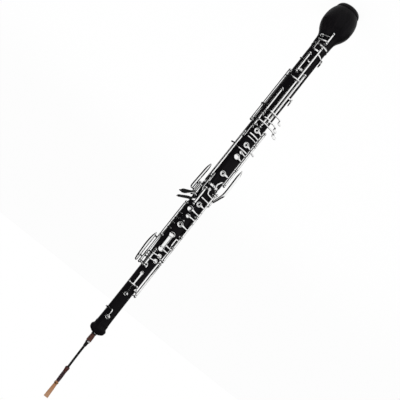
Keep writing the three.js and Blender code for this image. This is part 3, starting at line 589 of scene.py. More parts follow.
def add_hole(section, share, angle, radius):
    """A flat bed with a raised rim and a hole into the bore; returns the radius of its rim."""
    surface, height = section.wood(share), section.height(share)
    seat = surface - BED_DEPTH
    bore, wide, tall = radius / 2, radius + BED_MARGIN, radius + BED_DEPTH
    section.beds.append(stand(lathe([(0, 0), (wide, 0), (wide, tall), (0, tall)], 40), height, angle, seat))
    top = 2 * RIM_HEIGHT
    rim = [(0, 0), (bore + 1.6, 0), (bore + 1.1, top - .5), (bore + .75, top), (0, top)]
    section.rims.append(stand(turned(rim, .25, 2, 36), height, angle, seat - RIM_HEIGHT))
    drill = [(0, 0), (bore, 0), (bore, surface + radius), (0, surface + radius)]
    section.holes.append(stand(lathe(drill, 28), height, angle, 0))
    return seat + RIM_HEIGHT


class Pad:
    """A padded cup, a closed plate or a holed plate, shut over its tone hole."""

    def __init__(self, section, share, angle, radius, kind="cup"):
        self.section, self.share, self.angle, self.size, self.kind = section, share, angle, radius, kind
        bottom = add_hole(section, share, angle, radius) + SEAT
        self.radius = bottom + PAD + CUP_HEIGHT / 2
        self.place = (share, angle, self.radius)
        r, top, hole, back = radius, PAD + CUP_HEIGHT, FINGER_HOLE * radius, .95
        skirt = [(0, 1.0), (r - .85, 1.0), (r - .85, .55), (r - .2, .5), (r, .75), (r, 1.75)]
        rim = [(r - .1, top - .35), (r - .65, top), (r - 1.35, top - .12), (r - 1.8, top - .5)]
        felt = [(0, 0), (r - 1.5, 0), (r - 1.05, .3), (r - 1.0, back), (0, back)]
        if kind == "holed":
            lip = [(hole + 1.1, top - .75), (hole + .75, top - .35), (hole, top - .45), (hole, 1.0)]
            inner = [(hole + .2, back), (hole + .2, 0)]
            metal = turned(skirt[1:] + rim + lip, .16, 2, 44, True)
            felt = turned(felt[1:-1] + inner, .12, 2, 36, True)
        else:
            dish = [(r * .4, top - .72), (r * .14, top - .78), (0, top - .8)]
            crown = [(r - .12, 2.15), (r - .75, 2.55), (r * .68, 2.72), (r * .6, 2.45), (r * .45, 2.5),
                     (r * .36, 2.78), (r * .16, 3.02), (0, top)]
            rest, corner, steps = (rim + dish, .2, 2) if kind == "plate" else (crown, .3, 3)
            metal = turned(skirt + rest, corner, steps, 44)
            felt = turned(felt, .2, 2, 36)
        place = (section.height(share), angle, bottom)
        self.metal, self.felt = stand(metal, *place), stand(felt, *place)

    def edge(self, start):
        """Where an arm from another place ends: at a plate's edge, or at a cup's middle."""
        if self.kind == "cup":
            return (self.share, self.angle, self.radius + .25)
        rise = (self.share - start[0]) * self.section.length
        side = math.radians(self.angle - start[1]) * self.radius
        back = self.size * (1.15 if self.kind == "holed" else .95) / math.hypot(rise, side)
        share = self.share - rise * back / self.section.length
        angle = self.angle - math.degrees(side * back / self.radius)
        return (share, angle, self.radius + .2)


def stadium(low, high, half, inset, n=12):
    """Outline with round ends, drawn in by an inset."""
    r = half - inset
    middle = (high - low) / 2 - half
    t = np.linspace(0, math.pi, n)
    top = np.stack([r * np.cos(t), middle + r * np.sin(t)], 1)
    return np.vstack([top, -top])


def finger_plate(section, from_share, to_share, angle, half, bottom):
    """A long plate with round ends, a raised rim and a shallow dish."""
    low, high = section.height(from_share) - half, section.height(to_share) + half
    top = PLATE_THICK
    levels = [(.25, 0), (0, .3), (0, top - .35), (.25, top), (.7, top), (1.15, top - .32),
              (half * .6, top - .42), (half * .92, top - .45)]
    rings = []
    for inset, z in levels:
        outline = stadium(low, high, half, inset)
        rings.append(np.column_stack([outline, np.full(len(outline), z)]))
    return stand(skin(rings), (low + high) / 2, angle, bottom)


def leaf(section, width, reach, face, rows, shape=LEAF_SECTION):
    """A touch with its face turned, through rows of share, angle and parts of the reach and the width."""
    fine = spline([(section.height(s), a, reach * r, width * w) for s, a, r, w in rows], 6)
    outs = [outward(row[1] + face) for row in fine]
    return sweep([polar(*row[:3]) for row in fine], outs, fine[:, 3], [PLATE_THICK] * len(fine), shape)


def swung(shell, line, degrees):
    """Turns a shell about its hinge line."""
    turn = spin(degrees)
    return shell.moved(turn, line.foot - turn @ line.foot)


def add_silver(name, metal, felts, bores=()):
    """All metal of a key as one piece, and each of its pads."""
    steps = [("UNION", metal[1:]), ("DIFFERENCE", bores)]
    add(name + "_silver", name, "silver_plate", metal[0], steps, [name])
    for k, felt in enumerate(felts):
        add(f"{name}_pad_{k + 1}" if len(felts) > 1 else name + "_pad", name, "cork", felt)


def add_key(name, line, shapes, pads=(), turn=0.0, span=None):
    """A key on its tube, of shells and rows for Line.arm; turn is how far it stands open."""
    shells = [line.arm(*shape) if isinstance(shape, tuple) else shape for shape in shapes]
    metal = [line.tube(span), *shells, *[pad.metal for pad in pads]]
    felts = [pad.felt for pad in pads]
    if turn:
        metal, felts = ([swung(s, line, -turn * OPEN_TURN) for s in group] for group in (metal, felts))
    add_silver(name, metal, felts, [line.rod_shell(ROD + SEAT, ROD_REACH)] if line.rod else [])


def plate_arm(line, share, pad):
    """From a hinge to a pad; on a plate the arm widens like a drop into its edge."""
    first = line.on(share)
    widths = (3.7, 2.6, 2.5, 2.2) if pad.kind == "cup" else (3.7, 2.7, 3.0, pad.size * .8)
    return arm(line.section, [first, pad.edge(first)], widths)


def cup_key(name, line, arm_share, pad_row, turn=0.0, more=(), pads=(), span=None):
    """A key with an arm to a pad (share, angle, radius, kind), and what else it carries."""
    pad = Pad(line.section, *pad_row)
    add_key(name, line, [plate_arm(line, arm_share, pad), *more], [pad, *pads], turn, span)


# Keys of the upper joint

left_stack = Line(upper, -57, 0, [.029, .185, .323, .398, .485], True)
right_rod = Line(upper, 61, .149, [.149, .371, .497, .557])
front_rod = Line(upper, 23, .456, [.456, .56])
octave_rod = Line(upper, 150, .73, [.587, .881])
side_rod = Line(upper, 110, .371, [.371, .545])
left_trill_rod = Line(upper, -82, .5, [.5, .719])
pinky_front_rod = Line(upper, 14, 0, [.026, .138])
pinky_right_rod = Line(upper, 45, 0, [.032, .088])
right_touch_rod = Line(upper, 100, 0, [.01, .085])
left_touch_rod = Line(upper, -100, 0, [.01, .085])


def first_octave_key():
    pad = Pad(upper, .893, 0, SMALL)
    elbow = (.849, 0, pad.radius)
    thumb = octave_rod.on(.66, 180, ARM_THICK)
    add_key("first_octave_key", octave_rod, [
        arm(upper, [octave_rod.on(.849), elbow, pad.edge(elbow)], (3.6, 2.7, 2.7, 2.6, 2.2)),
        arm(upper, [octave_rod.on(.66), thumb], (3.6, 3.2)),
        finger_plate(upper, .6, .67, 180, SMALL, thumb[2] - PLATE_THICK / 2),
    ], [pad])


def second_octave_key():
    """Rocks on a short tube across the joint, between two posts of its own."""
    share, foot_share = .677, .605
    pad = Pad(upper, .74, 0, VENT)
    radius = upper.wood(share) + ROD_RISE
    half = 2 * TUBE
    across = [[0, 0, 1], [0, 1, 0], [-1, 0, 0]]
    tube = turned([(0, -half), (TUBE, -half), (TUBE, half), (0, half)], .3, 3, 28)
    side = math.asin((half + SEAT + BALL) / radius)
    for sign in (-1, 1):
        add_post(upper, share, math.degrees(sign * side), radius / math.cos(side))
    places = [pad.place, (share, 0, radius), (foot_share, 0, radius - ARM_THICK / 2)]
    add_silver("second_octave_key", [
        tube.moved(across, polar(upper.height(share), 0, radius)),
        arm(upper, places, (2.4, 2.6, 3.2, 3.6, 4.2)),
        finger_plate(upper, .598, foot_share, 0, ARM_WIDTH, places[-1][2] - PLATE_THICK / 2),
        pad.metal], [pad.felt])


def trill_key(name, share, span, pad_share):
    pad = Pad(upper, pad_share, -22.6, SMALL)
    bridge = front_rod.on(share, rise=TUBE + ROD_RISE / 2)
    add_key(name, right_rod, [
        arm(upper, [right_rod.on(share), bridge, pad.edge(bridge)], (3.6, 2.6, 2.5, 2.5, 2.2))],
        [pad], span=span)


def touch_arms(line, shares, angle, radius):
    """Arms that carry a side touch."""
    return [arm(upper, [line.on(share), (share, angle, radius)], TOUCH_ARM) for share in shares]


def half_hole_key():
    """The half-hole plate: its pad, a long waist and a round far end on two arms."""
    pad = Pad(upper, .342, 2, PLATE, "plate")
    under = pad.radius - PLATE_THICK / 2
    arms = [arm(upper, [left_stack.on(s), (s, -12, pad.radius)], (3.6, 2.6, 3.6)) for s in (.409, .436)]
    add_key("half_hole_key", left_stack, [
        finger_plate(upper, .436, .436, 2, SMALL_PLATE, under),
        finger_plate(upper, .36, .418, 2, PLATE_WAIST / 2, under), *arms], [pad], 1, (.398, .485))


def left_link_key():
    pad, bend = Pad(upper, .022, -4, TINY), left_stack.on(.05, -12)
    add_key("left_link_key", left_stack, [
        (.084, BENT, (.084, 0)),
        arm(upper, [left_stack.on(.05), bend, pad.edge(bend)], (3.6, 2.6, 2.5, 2.2)),
        (.05, (3.4, 2.6, 2.4), (.013, -29, ARM_THICK * 2))], [pad], 1, (.029, .1))


first_octave_key()
second_octave_key()
add_key("octave_link", front_rod, [
    (.543, (3.6, 2.6, 3.2), (.547, 5, -ARM_THICK), (.564, 5, -ARM_THICK))])
trill_key("upper_trill_key", .515, (.497, .557), .509)
trill_key("lower_trill_key", .482, (.371, .497), .474)
cup_key("high_trill_key", left_trill_rod, .705, (.698, -50, VENT))
add_key("side_octave_lever", side_rod, [
    leaf(upper, TOUCH_WIDTH, 26.6, -85, [
        (.56, 74, .92, .5), (.548, 74, .95, .85), (.47, 74, 1, 1), (.43, 74, .99, 1), (.4, 74, .97, .75),
        (.38, 74, .95, .25)], BEVEL_SECTION),
    *touch_arms(side_rod, (.525, .395), 75, 26)])
half_hole_key()
add_key("upper_link_key", left_stack, [
    (.347, (3.6, 2.7, 2.7, 2.9), (.347, -31), (.39, -31))], turn=1, span=(.323, .398))
cup_key("a_plate_key", left_stack, .271, (.271, 3, PLATE, "holed"), 1, span=(.225, .323))
cup_key("b_flat_vent_key", left_stack, .205, (.209, -2, VENT, "plate"), 1, span=(.185, .225))
cup_key("g_plate_key", left_stack, .172, (.17, 13, PLATE, "plate"), 1, span=(.149, .185))
cup_key("g_sharp_key", left_stack, .122, (.122, -14, SMALL_PLATE, "holed"), span=(.1, .149))
left_link_key()
add_key("b_flat_link", right_rod, [
    (.317, LINK, (.317, 29)), (.284, LINK, (.284, 31)), (.219, LINK, (.219, 28)), (.254, LINK, (.245, -4))],
    turn=-1, span=(.149, .371))
add_key("low_b_lever", pinky_front_rod, [
    leaf(upper, 6, 38.6, -8, [
        (.109, 14, .5, .6), (.12, 28, .58, .8), (.126, 48, .66, 1), (.136, 62, .78, 1.1), (.15, 72, .97, 1),
        (.154, 73, 1.01, .4)]),
    (.046, (3.4, 2.6, 2.6, 3.2), (.046, 27, ARM_THICK), (-.03, 27, ROD_RISE))])
add_key("left_e_flat_lever", pinky_right_rod, [
    leaf(upper, 9, 38.4, -6, [
        (.069, 45, .5, .6), (.088, 58, .64, .7), (.105, 70, .82, 1.2), (.113, 75, .96, 1.2),
        (.118, 77, 1.04, .5)])])
add_key("left_f_lever", right_touch_rod, [
    leaf(upper, TOUCH_WIDTH, 27, -87, [
        (.066, 76, .98, .5), (.055, 76, 1, 1), (0, 76, .98, 1), (-.07, 76, .94, 1), (-.1, 76, .92, .5)],
        BEVEL_SECTION),
    *touch_arms(right_touch_rod, (.022, .062), 78, 28 - PLATE_THICK / 2)])
add_key("right_trill_lever", left_touch_rod, [
    leaf(upper, TOUCH_WIDTH, 30.6, 64, [
        (.055, -78, .74, .6), (.02, -76, .88, .8), (-.02, -76, 1, 1), (-.1, -76, 1, 1),
        (-.14, -76, .99, .95), (-.165, -76, .98, .6), (-.178, -76, .97, .22)], BEVEL_SECTION),
    *touch_arms(left_touch_rod, (.05,), -80, left_touch_rod.radius + ARM_THICK)])


# Keys of the lower joint

right_stack = Line(lower, -74, 0, [.583, .675, .845, .952], True)
right_long_rod = Line(lower, 38.5, 0, [.648, .952])
short_transfer_rod = Line(lower, 24, 0, [.51, .6])
low_c_rod = Line(lower, -30, 0, [.191, .54])
low_sharp_rod = Line(lower, 66.5, 0, [.208, .565])
e_flat_rod = Line(lower, 23, 0, [.33, .494])
low_b_rod = Line(lower, -10, 0, [.012, .58])
low_vent_rod = Line(lower, 24, 0, [.07, .2])

# The right little finger's arms cross the tubes up to this angle, and climb early where that is far
CROSSING, CROSSING_RISE = -48, 3 * TUBE
WIDE_CROSSING, CLIMB = 30, .35


def little_touch(line, share, rise, width, reach):
    """Crosses above the tubes from its own line, then widens to a leaf."""
    base = (line.radius + CROSSING_RISE) / reach
    wide = line.angle - CROSSING > WIDE_CROSSING
    climb = [(share, line.angle + (CROSSING - line.angle) * CLIMB, CROSSING_RISE)] if wide else []
    return [
        (share, (3.6, 2.6, 2.6), *climb, (share, CROSSING, CROSSING_RISE)),
        leaf(lower, width, reach, 20, [
            (share, CROSSING + 2, base, .45), (share + rise * .2, -58, .5 + base / 2, .6),
            (share + rise * .7, -68, .86, 1), (share + rise, -71, .97, 1),
            (share + rise * 1.1, -72, 1, .5)])]


cup_key("f_sharp_key", right_stack, .905, (.91, -7, PLATE, "holed"), 1, [
    (.935, (3.4, 2.6, 2.6, 2.6, 2.6),
     (.953, -28, ARM_THICK), (.979, -17, ARM_THICK), (1.006, -23, ARM_THICK / 2))], span=(.845, .952))
e_disc = Pad(lower, .757, -13.5, TINY, "plate")
cup_key("e_key", right_stack, .795, (.79, -10, PLATE, "plate"), 1,
        [plate_arm(right_stack, .757, e_disc)], [e_disc], (.72, .845))
cup_key("d_key", right_stack, .71, (.707, -11, PLATE, "holed"), 1, [
    arm(lower, [right_stack.on(.713), (.718, -88, 27.5)], (3.4, 2.8, 3.4))], span=(.675, .72))
cup_key("f_vent_key", right_stack, .61, (.607, -8, PLATE, "holed"), 1, [
    (.662, (3.4, 2, 2.6), (.662, 12)), (.641, (3.4, 2.8, 3.4), (.641, 12))], span=(.583, .675))
add_key("low_b_transfer_key", right_long_rod, [
    (.935, BENT, (.935, 24), (.985, 24)),
    (.741, BENT, (.741, -40)),
    (.73, BENT, (.73, 68, ARM_THICK)),
    (.675, BENT, (.675, 24, ROD_RISE), (.6, 24, ROD_RISE + ARM_LIFT), (.583, 10, ROD_RISE + ARM_LIFT))])
add_key("low_b_second_transfer_key", short_transfer_rod, [
    (.583, SHORT, (.583, 8)),
    (.526, BENT, (.524, 4, ROD_RISE + ARM_LIFT), (.52, -19, ROD_RISE + ARM_THICK / 2 + ARM_LIFT))])
cup_key("low_c_key", low_c_rod, .349, (.349, -95, LOW), -1.5,
        little_touch(low_c_rod, .524, .02, 6, 34))
cup_key("c_sharp_key", low_sharp_rod, .3, (.3, 128, LOW), 0, [
    *little_touch(low_sharp_rod, .553, .022, 7, 40.8),
    (.2455, (3.4, 2.6, 2.6, 2.8), (.2455, 28, CROSSING_RISE), (.2455, -16, CROSSING_RISE))])
cup_key("low_b_key", low_b_rod, .05, (.064, -97, LOW), -1, [
    (.52, SHORT, (.52, -19)),
    (.117, SHORT, (.117, 9)),
    (.036, (4.4, 3.6, 3.2, 3.4), (.036, 28, BRIDGE_LIFT), (-.026, 28, BRIDGE_LIFT))])
e_flat_pad = Pad(lower, .455, 112, SMALL)
e_flat_over = e_flat_rod.on(.455, low_sharp_rod.angle, ROD_RISE)
add_key("e_flat_key", e_flat_rod, [
    arm(lower, [e_flat_rod.on(.455), e_flat_over, e_flat_pad.place], (3.6, 2.6, 2.6, 2.4)),
    *little_touch(e_flat_rod, .478, .018, 4.6, 33)], [e_flat_pad])
cup_key("low_vent_key", low_vent_rod, .183, (.18, 8, TINY), 0, [
    (.117, (3.4, 2.8, 3.2), (.117, 8, ROD_RISE / 2 + TUBE / 2)),
    (.117, (3.4, 2.6, 3.2), (.117, 56))])

bell_rod = Line(bell, -10, .728, [.687, .927])
cup_key("bell_vent_key", bell_rod, .781, (.812, 36, VENT), 0, [
    (.88, (3.4, 2.6, 3.2), (.922, 30))])

# The two long rods, slotted at both ends
for name, line in (("left_stack_rod", left_stack), ("right_stack_rod", right_stack)):
    heights = [line.section.height(min(line.posts)) - BALL, line.section.height(max(line.posts)) + BALL]
    slots = ("DIFFERENCE", [box_shell((1.2, .16, .35), line.foot + (0, 0, z), 20) for z in heights])
    add(name + "_steel", line.section.name, "steel", line.rod_shell(ROD, .2), [slots], [name])


# Wooden sections

def outline_rows(section, high=1.0):
    """The section's outline on a smooth curve; one of few points keeps its straight lines, in even steps."""
    few, steps = 8, 40
    rows = [(s, r) for s, r in section.outline if s <= high]
    if len(rows) > few:
        fine = spline(rows, 5)
    else:
        fine = [(s, np.interp(s, *zip(*section.outline))) for s in np.linspace(0, rows[-1][0], steps)]
    return [(section.radius * min(r, 1), section.height(s)) for s, r in fine]


def ring_seat(section, ring):
    """Step turned down for a socket ring."""
    width, wall, _ = ring
    top, radius = section.height(1), section.wood(1)
    return [(radius, top - width), (radius - wall, top - width), (radius - wall, top)]


def tenon_rows(base, tenon):
    """Profile of a tenon below the base, with a bed for its cork."""
    radius, length, shoulder, depth = tenon
    end, deep = base - length, radius - depth
    return fillet([
        (radius - .4, end), (radius, end + .4), (radius, end + shoulder), (deep, end + shoulder),
        (deep, base - shoulder), (radius, base - shoulder), (radius, base)], .1, 1)


def socket_rows(top, tenon, bore):
    radius, length = tenon[0] + SEAT, tenon[1]
    return [(bore, top - length - SEAT), (radius, top - length - SEAT), (radius, top)]


def add_wood(name, section, outside, inside, segments=120):
    """A section bedded, rimmed and drilled for its pads, with its posts and pivot screws."""
    lines = [line for line in (left_stack, right_stack) if line.section is section]
    add(name + "_wood", section.name, "grenadilla", lathe(outside + inside[::-1], segments, True), [
        ("DIFFERENCE", section.beds), ("UNION", section.rims), ("DIFFERENCE", section.holes)], [name])
    bores = [line.rod_shell(ROD + ROD_GAP, ROD_REACH) for line in lines]
    for k, post in enumerate(section.posts):
        add(f"{section.name}_post_{k + 1:02d}", section.name, "silver_plate", post, [("DIFFERENCE", bores)])
    for k, (screw, slot) in enumerate(section.screws):
        add(f"{section.name}_screw_{k + 1:02d}", section.name, "steel", screw, [("DIFFERENCE", [slot])])


def add_hollow(name, kind, body, slot_name, profile, corner, n):
    """A hollow turned piece that stands for one node."""
    add(f"{name}_{kind}", body, slot_name, turned(profile, corner, 2, n, True), nodes=[name])


def add_ring(name, section, ring):
    """A ferrule with a bead at each edge."""
    width, wall, bulge = ring
    high, radius = section.height(1), section.wood(1)
    low, inner = high - width + SEAT, radius - wall + SEAT
    bead = [(radius - .15, 0), (radius + bulge * .8, .25), (radius + bulge, .75),
            (radius + bulge * .35, 1.15)]
    profile = [(r, low + z) for r, z in bead] + [(radius + bulge * .3, (low + high) / 2)]
    profile += [(r, high - z) for r, z in bead[::-1]] + [(inner, high), (inner, low)]
    add_hollow(name, "silver", section.name, "silver_plate", profile, .15, 120)


def add_tenon_cork(name, section, tenon):
    radius, length, shoulder, depth = tenon
    low, high = section.base - length + shoulder + SEAT, section.base - shoulder - SEAT
    inner, rounding, swell = radius - depth + SEAT, .25, .4
    profile = [(inner, low), (radius - rounding, low), (radius, low + swell), (radius, high - swell),
               (radius - rounding, high), (inner, high)]
    add_hollow(name, "sleeve", section.name, "cork", profile, .15, 96)


bell_cavity = spline([(bell.length * z, bell.radius * r) for z, r in [
    (0, .543), (.045, .55), (.112, .62), (.237, .76), (.352, .807), (.457, .77), (.572, .6), (.676, .34),
    (.781, .267)]], 5)
well_floor = UPPER_TOP - WELL_DEPTH - SEAT
add_wood("bell_body", bell,
         outline_rows(bell, .95) + ring_seat(bell, RING["bell"]),
         [(r, z) for z, r in bell_cavity] + socket_rows(BELL_HEIGHT, TENON["lower"], LOWER_BORE), 144)
add_wood("lower_joint_body", lower,
         tenon_rows(LOWER_BASE, TENON["lower"]) + outline_rows(lower, .97) + ring_seat(lower, RING["lower"]),
         [(LOWER_BORE, LOWER_BASE - TENON["lower"][1])] + socket_rows(LOWER_TOP, TENON["upper"], UPPER_BORE))
add_wood("upper_joint_body", upper,
         tenon_rows(UPPER_BASE, TENON["upper"]) + outline_rows(upper),
         [(UPPER_BORE, UPPER_BASE - TENON["upper"][1]), (TOP_BORE, well_floor), (WELL_RADIUS, well_floor),
          (WELL_RADIUS, UPPER_TOP)])
add_ring("bell_socket_ring", bell, RING["bell"])
add_ring("lower_socket_ring", lower, RING["lower"])
add_tenon_cork("lower_tenon_cork", lower, TENON["lower"])
add_tenon_cork("upper_tenon_cork", upper, TENON["upper"])


# Crook

LIP = UPPER_TOP + 3
CORK_TOP = LIP + SEAT + 14
SLEEVE_BORE = 2.6
TUBE_WIDTH, BORE_WIDTH = 4.6, 2.6
BEND, BEND_TURN, BEND_RADIUS, STRAIGHT, TAIL = math.radians(22), 3, 90, 29.5, 19.5


def crook_place(angle, beyond=0.0):
    """A place on the bend, or beyond it on the straight end."""
    sideways = BEND_RADIUS * (1 - math.cos(angle)) + beyond * math.sin(angle)
    height = UPPER_TOP + STRAIGHT + BEND_RADIUS * math.sin(angle) + beyond * math.cos(angle)
    turn = math.radians(BEND_TURN)
    return np.array([-sideways * math.sin(turn), sideways * math.cos(turn), height])


def add_crook():
    foot = UPPER_TOP - WELL_DEPTH
    start, low, collar_length = foot + SEAT, CORK_TOP + SEAT, 11.2
    path = [np.array([0, 0, z]) for z in np.linspace(start, UPPER_TOP + STRAIGHT, 12)[:-1]]
    path += [crook_place(a) for a in np.linspace(0, BEND, 16)]
    path += [crook_place(BEND, d) for d in (TAIL / 2, TAIL)]
    longer = [path[0] - (0, 0, 1)] + path[1:-1] + [path[-1] + unit(path[-1] - path[-2])]
    outs = [np.array([1.0, 0, 0])] * len(path)
    bore, tube = [
        sweep(places, outs, [width] * len(path), [width] * len(path), squircle(2, n), False)
        for places, width, n in ((longer, BORE_WIDTH, 28), (path, TUBE_WIDTH, 36))]
    add("crook_tube_silver", "crook", "silver_plate", tube, [("DIFFERENCE", [bore])], ["crook_tube"])
    liner, wide = 3.7, 4.6
    add_hollow("crook_socket_ring", "silver", "upper_joint", "silver_plate", [
        (liner, foot), (wide, foot), (wide, UPPER_TOP + SEAT), (WELL_RADIUS + .5, UPPER_TOP + SEAT),
        (WELL_RADIUS + .55, UPPER_TOP + .8), (WELL_RADIUS + .2, LIP), (liner, LIP)], .2, 60)
    add_hollow("crook_cork", "sleeve", "crook", "cork", [
        (SLEEVE_BORE, start), (3.25, start), (3.35, start + .6), (3.35, LIP + SEAT), (4.3, LIP + SEAT),
        (4.55, LIP + 3), (5, CORK_TOP - .4), (4.9, CORK_TOP), (SLEEVE_BORE, CORK_TOP)], .2, 60)
    collar = [(SLEEVE_BORE, 0), (4.5, 0), (4.5, .5), (4.15, .9), (4.2, 1.3), (4.45, 1.7), (4.4, 2.3),
              (3.5, 3.9), (3.35, 7.5), (2.95, collar_length), (SLEEVE_BORE, collar_length)]
    add_hollow("crook_collar", "silver", "crook", "silver_plate", [(r, low + z) for r, z in collar], .25, 64)


add_crook()


# Reed

reed_end = crook_place(BEND, TAIL)
reed_way = unit(reed_end - crook_place(BEND))
REED_TURN = np.array(Vector((0, 0, 1)).rotation_difference(Vector(reed_way)).to_matrix())
REED_LENGTH = 64
WINDING = 21.5
WIND_FOOT = 4.3
WIND_TOP = WIND_FOOT + WINDING
BLADE_FOOT = WIND_TOP - 8
STRAND = .46
WIRE_RADIUS, WIRE_FOOT, WIRE_WIDTH = 3.8, WIND_TOP + 3.1, 1.9


def add_reed(name, slot_name, shell, nodes=()):
    add(name, "reed", slot_name, shell.moved(REED_TURN, reed_end), nodes=nodes)


def winding_radius(z):
    return 3.2 + .2 * math.sin(math.pi * (z - WIND_FOOT) / WINDING)


def helix(radius_of, low, high, pitch, thick, steps=28):
    """A strand wound round the axis."""
    turns = (high - low) / pitch
    t = np.linspace(0, 1, int(turns * steps))
    angle = t * turns * 2 * math.pi
    z = low + (high - low) * t
    r = np.array([radius_of(h) for h in z])
    points = np.stack([r * np.cos(angle), r * np.sin(angle), z], 1)
    outs = np.stack([np.cos(angle), np.sin(angle), 0 * angle], 1)
    return sweep(points, outs, [thick] * len(t), [thick] * len(t), ROUND_SECTION)


def blade(side):
    """One cane blade: bark at the wire, then scraped thinner to the tip, with a heart left in the middle."""
    rows = spline([
        (BLADE_FOOT, 2.75, 2.75, .6), (WIND_TOP, 2.75, 2.75, .6), (WIND_TOP + 4, 3.1, 2.75, .6),
        ((WIND_TOP + REED_LENGTH) / 2, 3.75, 1.9, .6), (REED_LENGTH, 4.4, .7, .35)], 10)
    arc = np.linspace(0, math.pi, 25)
    heart, heart_height, heart_spread, gap = .1, 51, 5, .15
    rings = []
    for z, wide, deep, wall in rows:
        ridge = heart * math.exp(-((z - heart_height) / heart_spread) ** 2)
        outer = [(wide * math.cos(a), side * (gap + (deep + ridge * math.sin(a) ** 4) * math.sin(a)), z)
                 for a in arc]
        inner = [((wide - wall) * math.cos(a), side * (gap + (deep - wall) * math.sin(a)), z)
                 for a in arc[::-1]]
        rings.append(outer + inner)
    return skin(rings)


add_reed("reed_sleeve_tubing", "brown_tubing", turned([
    (SLEEVE_BORE, -7), (3.5, -7), (4.4, -5.5), (4.2, -4), (3.8, 0), (3.55, 3.2), (3.4, 4), (SLEEVE_BORE, 4)],
    .35, 3, 56, True), ["reed_sleeve"])
add_reed("reed_staple_brass", "brass", turned([
    (1.75, .3), (2.25, .3), (1.8, 27), (1.3, 27)], .1, 1, 40, True), ["reed_staple"])
add_reed("reed_winding_core", "burgundy_thread", turned([
    (SLEEVE_BORE, WIND_FOOT + .1), (3.1, WIND_FOOT + .1), (3.3, BLADE_FOOT), (3.1, WIND_TOP - .1),
    (3.05, WIND_TOP - .1), (3.05, BLADE_FOOT - SEAT), (SLEEVE_BORE, BLADE_FOOT - SEAT)], .02, 1, 48, True),
    ["reed_winding"])
add_reed("reed_winding_thread", "burgundy_thread",
         helix(winding_radius, WIND_FOOT + .25, WIND_TOP - .25, STRAND * 1.02, STRAND))
add_reed("reed_wire_turns", "brass",
         helix(lambda z: WIRE_RADIUS, WIRE_FOOT, WIRE_FOOT + WIRE_WIDTH, .62, .58, 48), ["reed_wire"])
add_reed("reed_blade_front_cane", "cane", blade(-1), ["reed_blade_front"])
add_reed("reed_blade_back_cane", "cane", blade(1), ["reed_blade_back"])


# Thumb rest

def add_thumb_rest():
    """A curved plate on the back with a hook for the thumb, a strap ring and two screws."""
    share, length, width, thick = .7, 34, 13, 1.5
    inner = lower.wood(share) + SEAT
    outer = inner + thick
    height = lower.height(share)
    foot = height - length / 2
    levels = [(.25, inner), (0, inner + .3), (0, outer - .35), (.35, outer), (1.1, outer), (2.5, outer)]
    rings = []
    for inset, radius in levels:
        outline = stadium(0, length, width / 2, inset, 14)
        turn = math.pi + outline[:, 0] / inner
        rings.append(np.stack([radius * np.sin(turn), -radius * np.cos(turn), height + outline[:, 1]], 1))
    hook_depth, hook_width, hook_thick = 17, 15, 2.1
    fine = spline([
        (inner + thick / 2 + hook_depth * a, foot + length * b, hook_width * c)
        for a, b, c in ((0, .6, .8), (.35, .62, 1), (.8, .52, 1), (1, .3, .9))], 8)
    hook = sweep([(0, y, z) for y, z, _ in fine], [np.array([0, 0, 1.0])] * len(fine), fine[:, 2],
                 [hook_thick] * len(fine), LEAF_SECTION)
    loop, wire = 5.4, 1.2
    middle, across = np.array([0, outer + loop, foot + 4.4]), np.array([1.0, 0, 0])
    ring = []
    for a in np.arange(48) * 2 * math.pi / 48:
        side = np.array([0, math.cos(a), math.sin(a)])
        section = ROUND_SECTION[:, :1] * side + ROUND_SECTION[:, 1:] * across
        ring.append(middle + loop * side + wire * section)
    extras = [("UNION", [hook, skin(ring, True)])]
    add("thumb_rest_silver", "lower_joint", "silver_plate", skin(rings), extras, ["thumb_rest"])
    for k, z in enumerate((foot + 11, foot + length - 5)):
        head = turned([(0, 0), (2.1, 0), (2.1, .35), (1.3, .85), (0, 1.0)], .2, 2, 32)
        slot = box_shell((1.7, .22, .5), (0, 0, 1.05))
        placed, cut = (stand(shell, z, 180, outer - .05) for shell in (head, slot))
        add(f"thumb_rest_screw_{k + 1}", "lower_joint", "steel", placed, [("DIFFERENCE", [cut])])


add_thumb_rest()


# Needle springs

def add_springs(section, rows):
    """Tapered needle springs: hinge line, share of the post, length up or down, side of the tube."""
    for k, (line, post_share, length, side) in enumerate(rows):
        start = section.height(post_share)
        shift = side * math.degrees((TUBE + .55) / line.radius)
        fine = spline([
            (start, line.angle + shift * .3, line.radius - 1.5),
            (start + math.copysign(4, length), line.angle + shift * .8, line.radius - 1.1),
            (start + length, line.angle + shift, line.radius - .9)], 6)
        width = np.linspace(.75, .35, len(fine))
        add(f"{section.name}_spring_{k + 1:02d}", section.name, "steel", sweep(
            [polar(*row) for row in fine], [outward(row[1]) for row in fine], width, width, ROUND_SECTION))


add_springs(upper, [
    (octave_rod, .587, 22, 1), (right_rod, .371, 20, 1), (right_rod, .371, -22, 1),
    (left_stack, .398, 18, -1), (left_stack, .323, -20, -1), (left_stack, .185, -16, -1),
    (left_trill_rod, .5, 22, -1), (side_rod, .371, 20, 1)])
add_springs(lower, [
    (right_stack, .845, 18, -1), (right_stack, .845, -20, -1), (right_stack, .583, 18, -1),
    (right_long_rod, .648, 22, 1), (low_c_rod, .191, 22, -1), (low_sharp_rod, .208, 22, 1),
    (low_b_rod, .012, 22, -1), (e_flat_rod, .33, 18, 1)])


# Floor, light and camera, in metres

